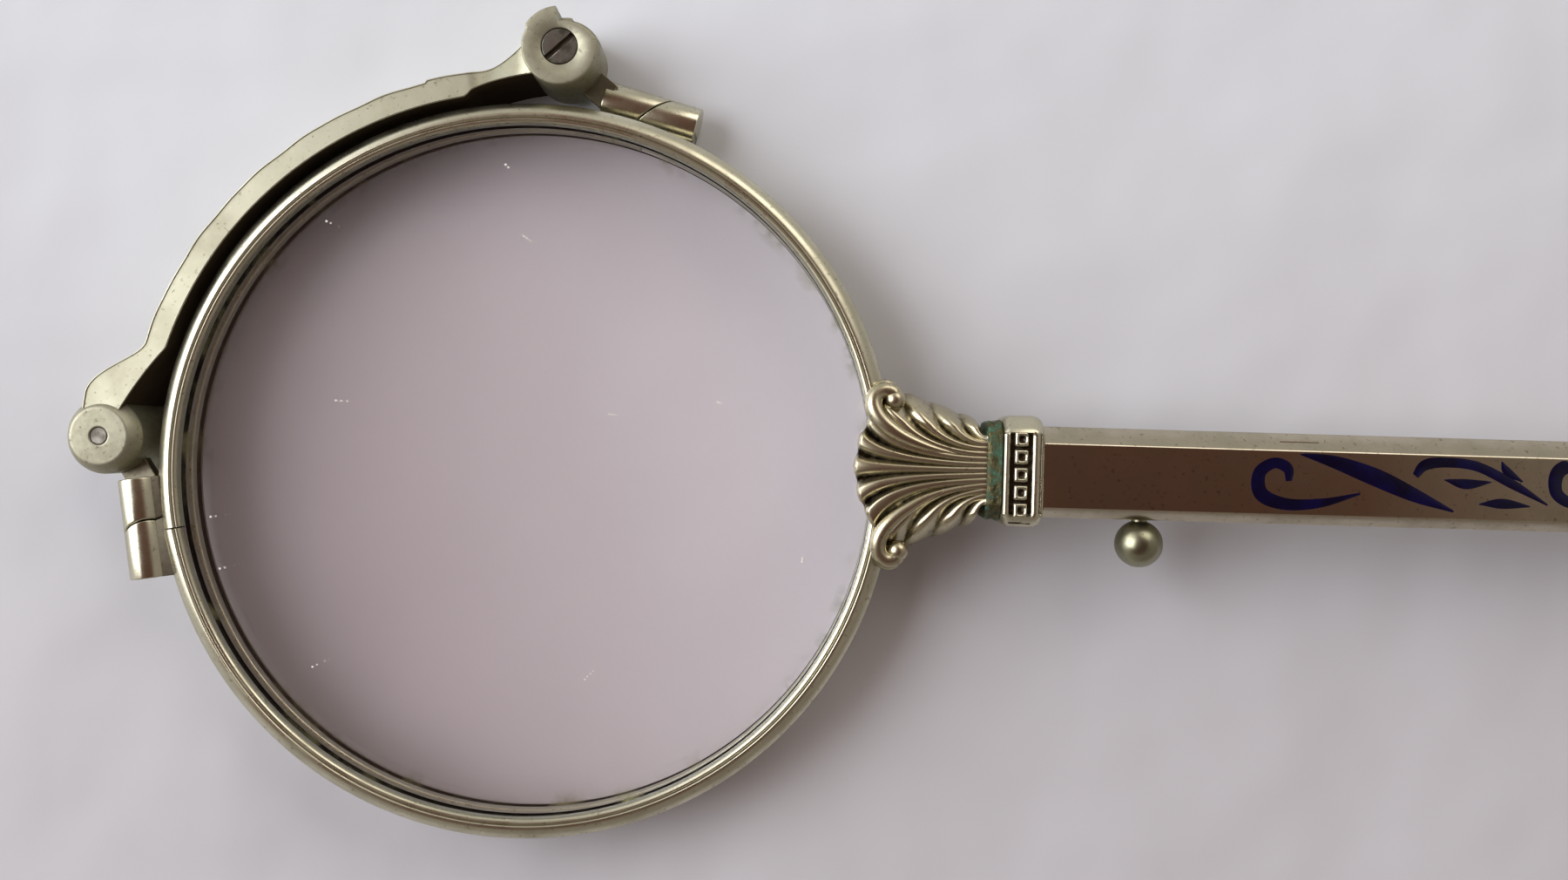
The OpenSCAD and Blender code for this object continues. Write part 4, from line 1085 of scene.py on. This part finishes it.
def capShells():
    # half-round band, dome, and a short stem with the eye that holds the ring
    x = tubeEnd
    section = sectionOutline(tubeHalfWidth + 0.35, tubeHalfHeight + 0.25, 0.86, 0.86, 0.3)
    shells = [turnedProfile(section, [(x - 0.001, 0.5)] + roundBand(x, 0.8, 0.24, 0.24) + [(x + 0.82, 0.5)])]
    # dome: the section shrinks as 1 - 0.6 t^2.2 across and 1 - 0.75 t^2.2 in height
    t = np.linspace(0, 1, 9)
    dome = np.column_stack([1.38 * t, 0.84 * (1 - 0.6 * t ** 2.2), 0.76 * (1 - 0.75 * t ** 2.2)])
    rings = [np.column_stack([section * [across, up], np.full(len(section), x + 0.78 + along)])
             for along, across, up in [(0, 0.84, 0.76), *dome]]
    shells += placeShells([shellFromGrid(np.array(rings))], alongHandle)
    eyeX = capHigh[0] - lensCentre[0] - cap["eye"]
    eye, hole, half = cap["eye"], cap["hole"], cap["eyeHalf"]
    ring = [(hole + 0.06, -half), (eye - 0.12, -half), (eye - 0.03, -half + 0.09), (eye, -half + 0.2),
            (eye, half - 0.2), (eye - 0.03, half - 0.09), (eye - 0.12, half), (hole + 0.06, half),
            (hole, half - 0.08), (hole, -half + 0.08), (hole + 0.06, -half)]
    points, faces = lathe(ring, 72, caps=False)
    shells.append((points[:, [0, 2, 1]] + [eyeX, *handleAxis], faces))
    stem = roundedPrism(np.array([(-0.5, -0.7), (0.5, -0.7), (0.5, 0.7), (-0.5, 0.7)]), x + 1.9, eyeX - 0.6, 0.05)
    return shells + placeShells([stem], alongHandle)


capParts = capShells()
makePiece("endCap", capParts, "handle", ["end_cap"], mountMetal,
          {"paintedLightAndSoil": np.zeros(sum(len(p) for p, f in capParts))})

ringLow, ringHigh = nodeBox("suspension_ring")
hangRing = {"wire": 1.0}     # mm


def ringShell():
    # round wire ring, tilted as it hangs from the eye
    wire = hangRing["wire"]
    radius = (ringHigh[1] - ringLow[1]) / 2 - wire / 2
    centre = (ringLow + ringHigh) / 2
    tilt = math.asin((ringHigh[2] - ringLow[2] - wire) / (2 * radius))
    a = np.linspace(0, 2 * np.pi, 160, endpoint=False)
    b = np.linspace(0, 2 * np.pi, 24, endpoint=False)
    r = radius + wire / 2 * np.cos(b)
    c, s = math.cos(tilt), math.sin(tilt)
    x, y, z = r * np.cos(a)[:, None], r * np.sin(a)[:, None], wire / 2 * np.sin(b)
    grid = np.stack([c * x + s * z, y, -s * x + c * z], -1) + centre
    return shellFromGrid(np.concatenate([grid, grid[:1]]), caps=False)


ringPoints, ringFaces = ringShell()
makePiece("suspensionRing", [(ringPoints, ringFaces)], "ring", ["suspension_ring"], mountMetal,
          {"paintedLightAndSoil": np.zeros(len(ringPoints))}, place=False)

spring = {"wire": 0.25, "turns": 7, "travel": 2.0}      # mm


def coilShell(low, high):
    # round wire round the X axis: angle and place along the axis grow together
    a = np.linspace(0, 2 * np.pi * spring["turns"], 40 * spring["turns"])
    radius = (high[1] - low[1] - spring["wire"]) / 2
    middle = (low + high) / 2
    x = np.linspace(low[0] + spring["wire"] / 2, high[0] - spring["wire"] / 2, len(a))
    path = np.column_stack([x, middle[1] + radius * np.cos(a), middle[2] + radius * np.sin(a)])
    return tubeAlong(path, spring["wire"] / 2 - 0.003, 12)


# the coil, with a mesh of its own
springLow, springHigh = nodeBox("catch_spring")
coil = makePiece("catchSpring", [coilShell(springLow, springHigh)], "handle", ["catch_spring"], springSteel,
                 place=False)
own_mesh(coil)

keptNodes = {"catch_bolt": catchMetal, "spring_stop": catchMetal, "keeper_lug": rimMetal, "keeper_stud": catchMetal,
             "handle_hinge_spring": springSteel, "outer_hinge_spring": springSteel}
for name, material in keptNodes.items():
    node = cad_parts[name]
    node.data.materials.clear()
    node.data.materials.append(material)
print("small pieces made")


# Floor, light and camera

paper = {
    "light": "#dee2e6",
    "dark": "#c6c5c8",
    "far": "#d3d5d8",        # away from the object
    "creases": 14,           # mm, size of the soft dents
}


def paperMaterial():
    # Crumpled white wrapping paper: matt, with soft dents and creases, and painted shade that makes it a little
    # greyer below the object
    material, tree, shader = newMaterial("crumpledPaper")
    spot = millimetres(tree)
    x, y, z = addNode(tree, "SeparateXYZ", [spot]).outputs
    # painted shade: the colour runs from light to dark towards the lower right (-y, +x), then fades to an even tone
    # far from the object
    lean = addNode(tree, "Math", [x, -0.15, y], operation="MULTIPLY_ADD")
    shade = {0: addNode(tree, "MapRange", [lean, 36, -14]), 6: linear(paper["light"]), 7: linear(paper["dark"])}
    near = addNode(tree, "Mix", shade, data_type="RGBA")
    reach = addNode(tree, "VectorMath", [spot], operation="LENGTH")
    away = {0: addNode(tree, "MapRange", [reach, 70, 160]), 6: near, 7: linear(paper["far"])}
    colour = addNode(tree, "Mix", away, data_type="RGBA")
    dents = addNode(tree, "TexNoise", {"Vector": spot, "Scale": 1 / paper["creases"], "Detail": 2, "Roughness": 0.4})
    grain = addNode(tree, "TexNoise", {"Vector": spot, "Scale": 1 / 0.8, "Detail": 3})
    height = addNode(tree, "Math", [grain, 0.012, dents], operation="MULTIPLY_ADD")
    bump = addNode(tree, "Bump", {"Height": height, "Distance": 3.0 * mm, "Strength": 0.3})
    setInputs(tree, shader, {"Base Color": colour, "Roughness": 0.9, "Normal": bump})
    return material


floorMesh = bpy.data.meshes.new("floor")
corners = [(-1.5, -1.5), (1.5, -1.5), (1.5, 1.5), (-1.5, 1.5)]     # metres
floorMesh.from_pydata([(x, y, -1e-5) for x, y in corners], [], [(0, 1, 2, 3)])
floor = bpy.data.objects.new("floor", floorMesh)
bpy.context.scene.collection.objects.link(floor)
floorMesh.materials.append(paperMaterial())

light = {
    "window": {"place": (-0.50, 0.07, 0.33), "size": (0.44, 0.44), "power": 2.8, "colour": "#f8f9ff"},
    "top": {"place": (0.2, 0.4, 0.34), "size": (0.4, 0.3), "power": 0.8, "colour": "#fff8f2"},
    "overhead": (-0.30, -0.05, 1.0),     # where whoever leans over the table stands out dark
    "windowSide": (-0.87, 0.33, 0.36),   # direction of the window's glow
    "lightWall": (-0.6, 0.8, 0.0),
}


def addLamp(name, settings, target=(-0.04, 0.0, 0.0)):
    data = bpy.data.lights.new(name, "AREA")
    data.shape = "RECTANGLE"
    data.size, data.size_y = settings["size"]
    data.energy = settings["power"]
    data.color = linear(settings["colour"])[:3]
    lamp = bpy.data.objects.new(name, data)
    bpy.context.scene.collection.objects.link(lamp)
    lamp.location = settings["place"]
    lamp.rotation_mode = "QUATERNION"
    lamp.rotation_quaternion = (Vector(target) - lamp.location).to_track_quat("-Z", "Y")


addLamp("window", light["window"])
addLamp("top", light["top"])


def towards(tree, direction, axis):
    # cosine of the angle between a view direction and an axis
    unitAxis = np.array(axis) / np.linalg.norm(axis)
    return addNode(tree, "VectorMath", [direction, unitAxis.tolist()], operation="DOT_PRODUCT")


def roomLight():
    # room seen in the metal: walls from dim brown to pale, a dark maroon patch overhead, and a bright
    # glow low on the window's side
    world = bpy.data.worlds.new("room")
    bpy.context.scene.world = world
    world.use_nodes = True
    tree = world.node_tree
    direction = addNode(tree, "TexCoord").outputs["Generated"]
    pale = addNode(tree, "MapRange", [towards(tree, direction, light["lightWall"]), -0.9, 0.9])
    walls = addNode(tree, "Mix", {0: pale, 6: linear("#8f857f"), 7: linear("#d6d4d1")}, data_type="RGBA")
    patch = addNode(tree, "ValToRGB", [towards(tree, direction, light["overhead"])])
    stops = [(0.52, "#ffffff"), (0.64, "#e2d8d0"), (0.735, "#997468"), (0.82, "#916f66")]
    while len(patch.color_ramp.elements) < len(stops):
        patch.color_ramp.elements.new(0.5)
    for element, (place, colour) in zip(patch.color_ramp.elements, stops):
        element.position = place
        element.color = linear(colour)
    walls = addNode(tree, "Mix", {0: 1.0, 6: walls, 7: patch}, data_type="RGBA", blend_type="MULTIPLY")
    glow = addNode(tree, "MapRange", [towards(tree, direction, light["windowSide"]), 0.76, 0.95])
    colour = addNode(tree, "Mix", {0: glow, 6: walls, 7: linear("#f6f8ff")}, data_type="RGBA")
    strength = addNode(tree, "MapRange", [glow, 0, 1, 1, 2.0])
    setInputs(tree, tree.nodes["Background"], {"Color": colour, "Strength": strength})


roomLight()

view = {
    "place": (13.55, 2.03, 68.35),   # mm from the lens centre, looking straight down
    "turn": 1.66,                    # degrees
    "lens": 28.04,                   # mm on a 36 mm wide sensor
}
cameraData = bpy.data.cameras.new("camera")
cameraData.lens = view["lens"]
cameraData.sensor_width = 36
cameraData.clip_start = 0.002
camera = bpy.data.objects.new("camera", cameraData)
bpy.context.scene.collection.objects.link(camera)
camera.location = ((np.array(view["place"]) + [*lensCentre, 0]) * mm).tolist()
camera.rotation_euler = (0, 0, math.radians(view["turn"]))
bpy.context.scene.camera = camera
bpy.context.scene.view_settings.view_transform = "Standard"
print("stage, light and camera made")
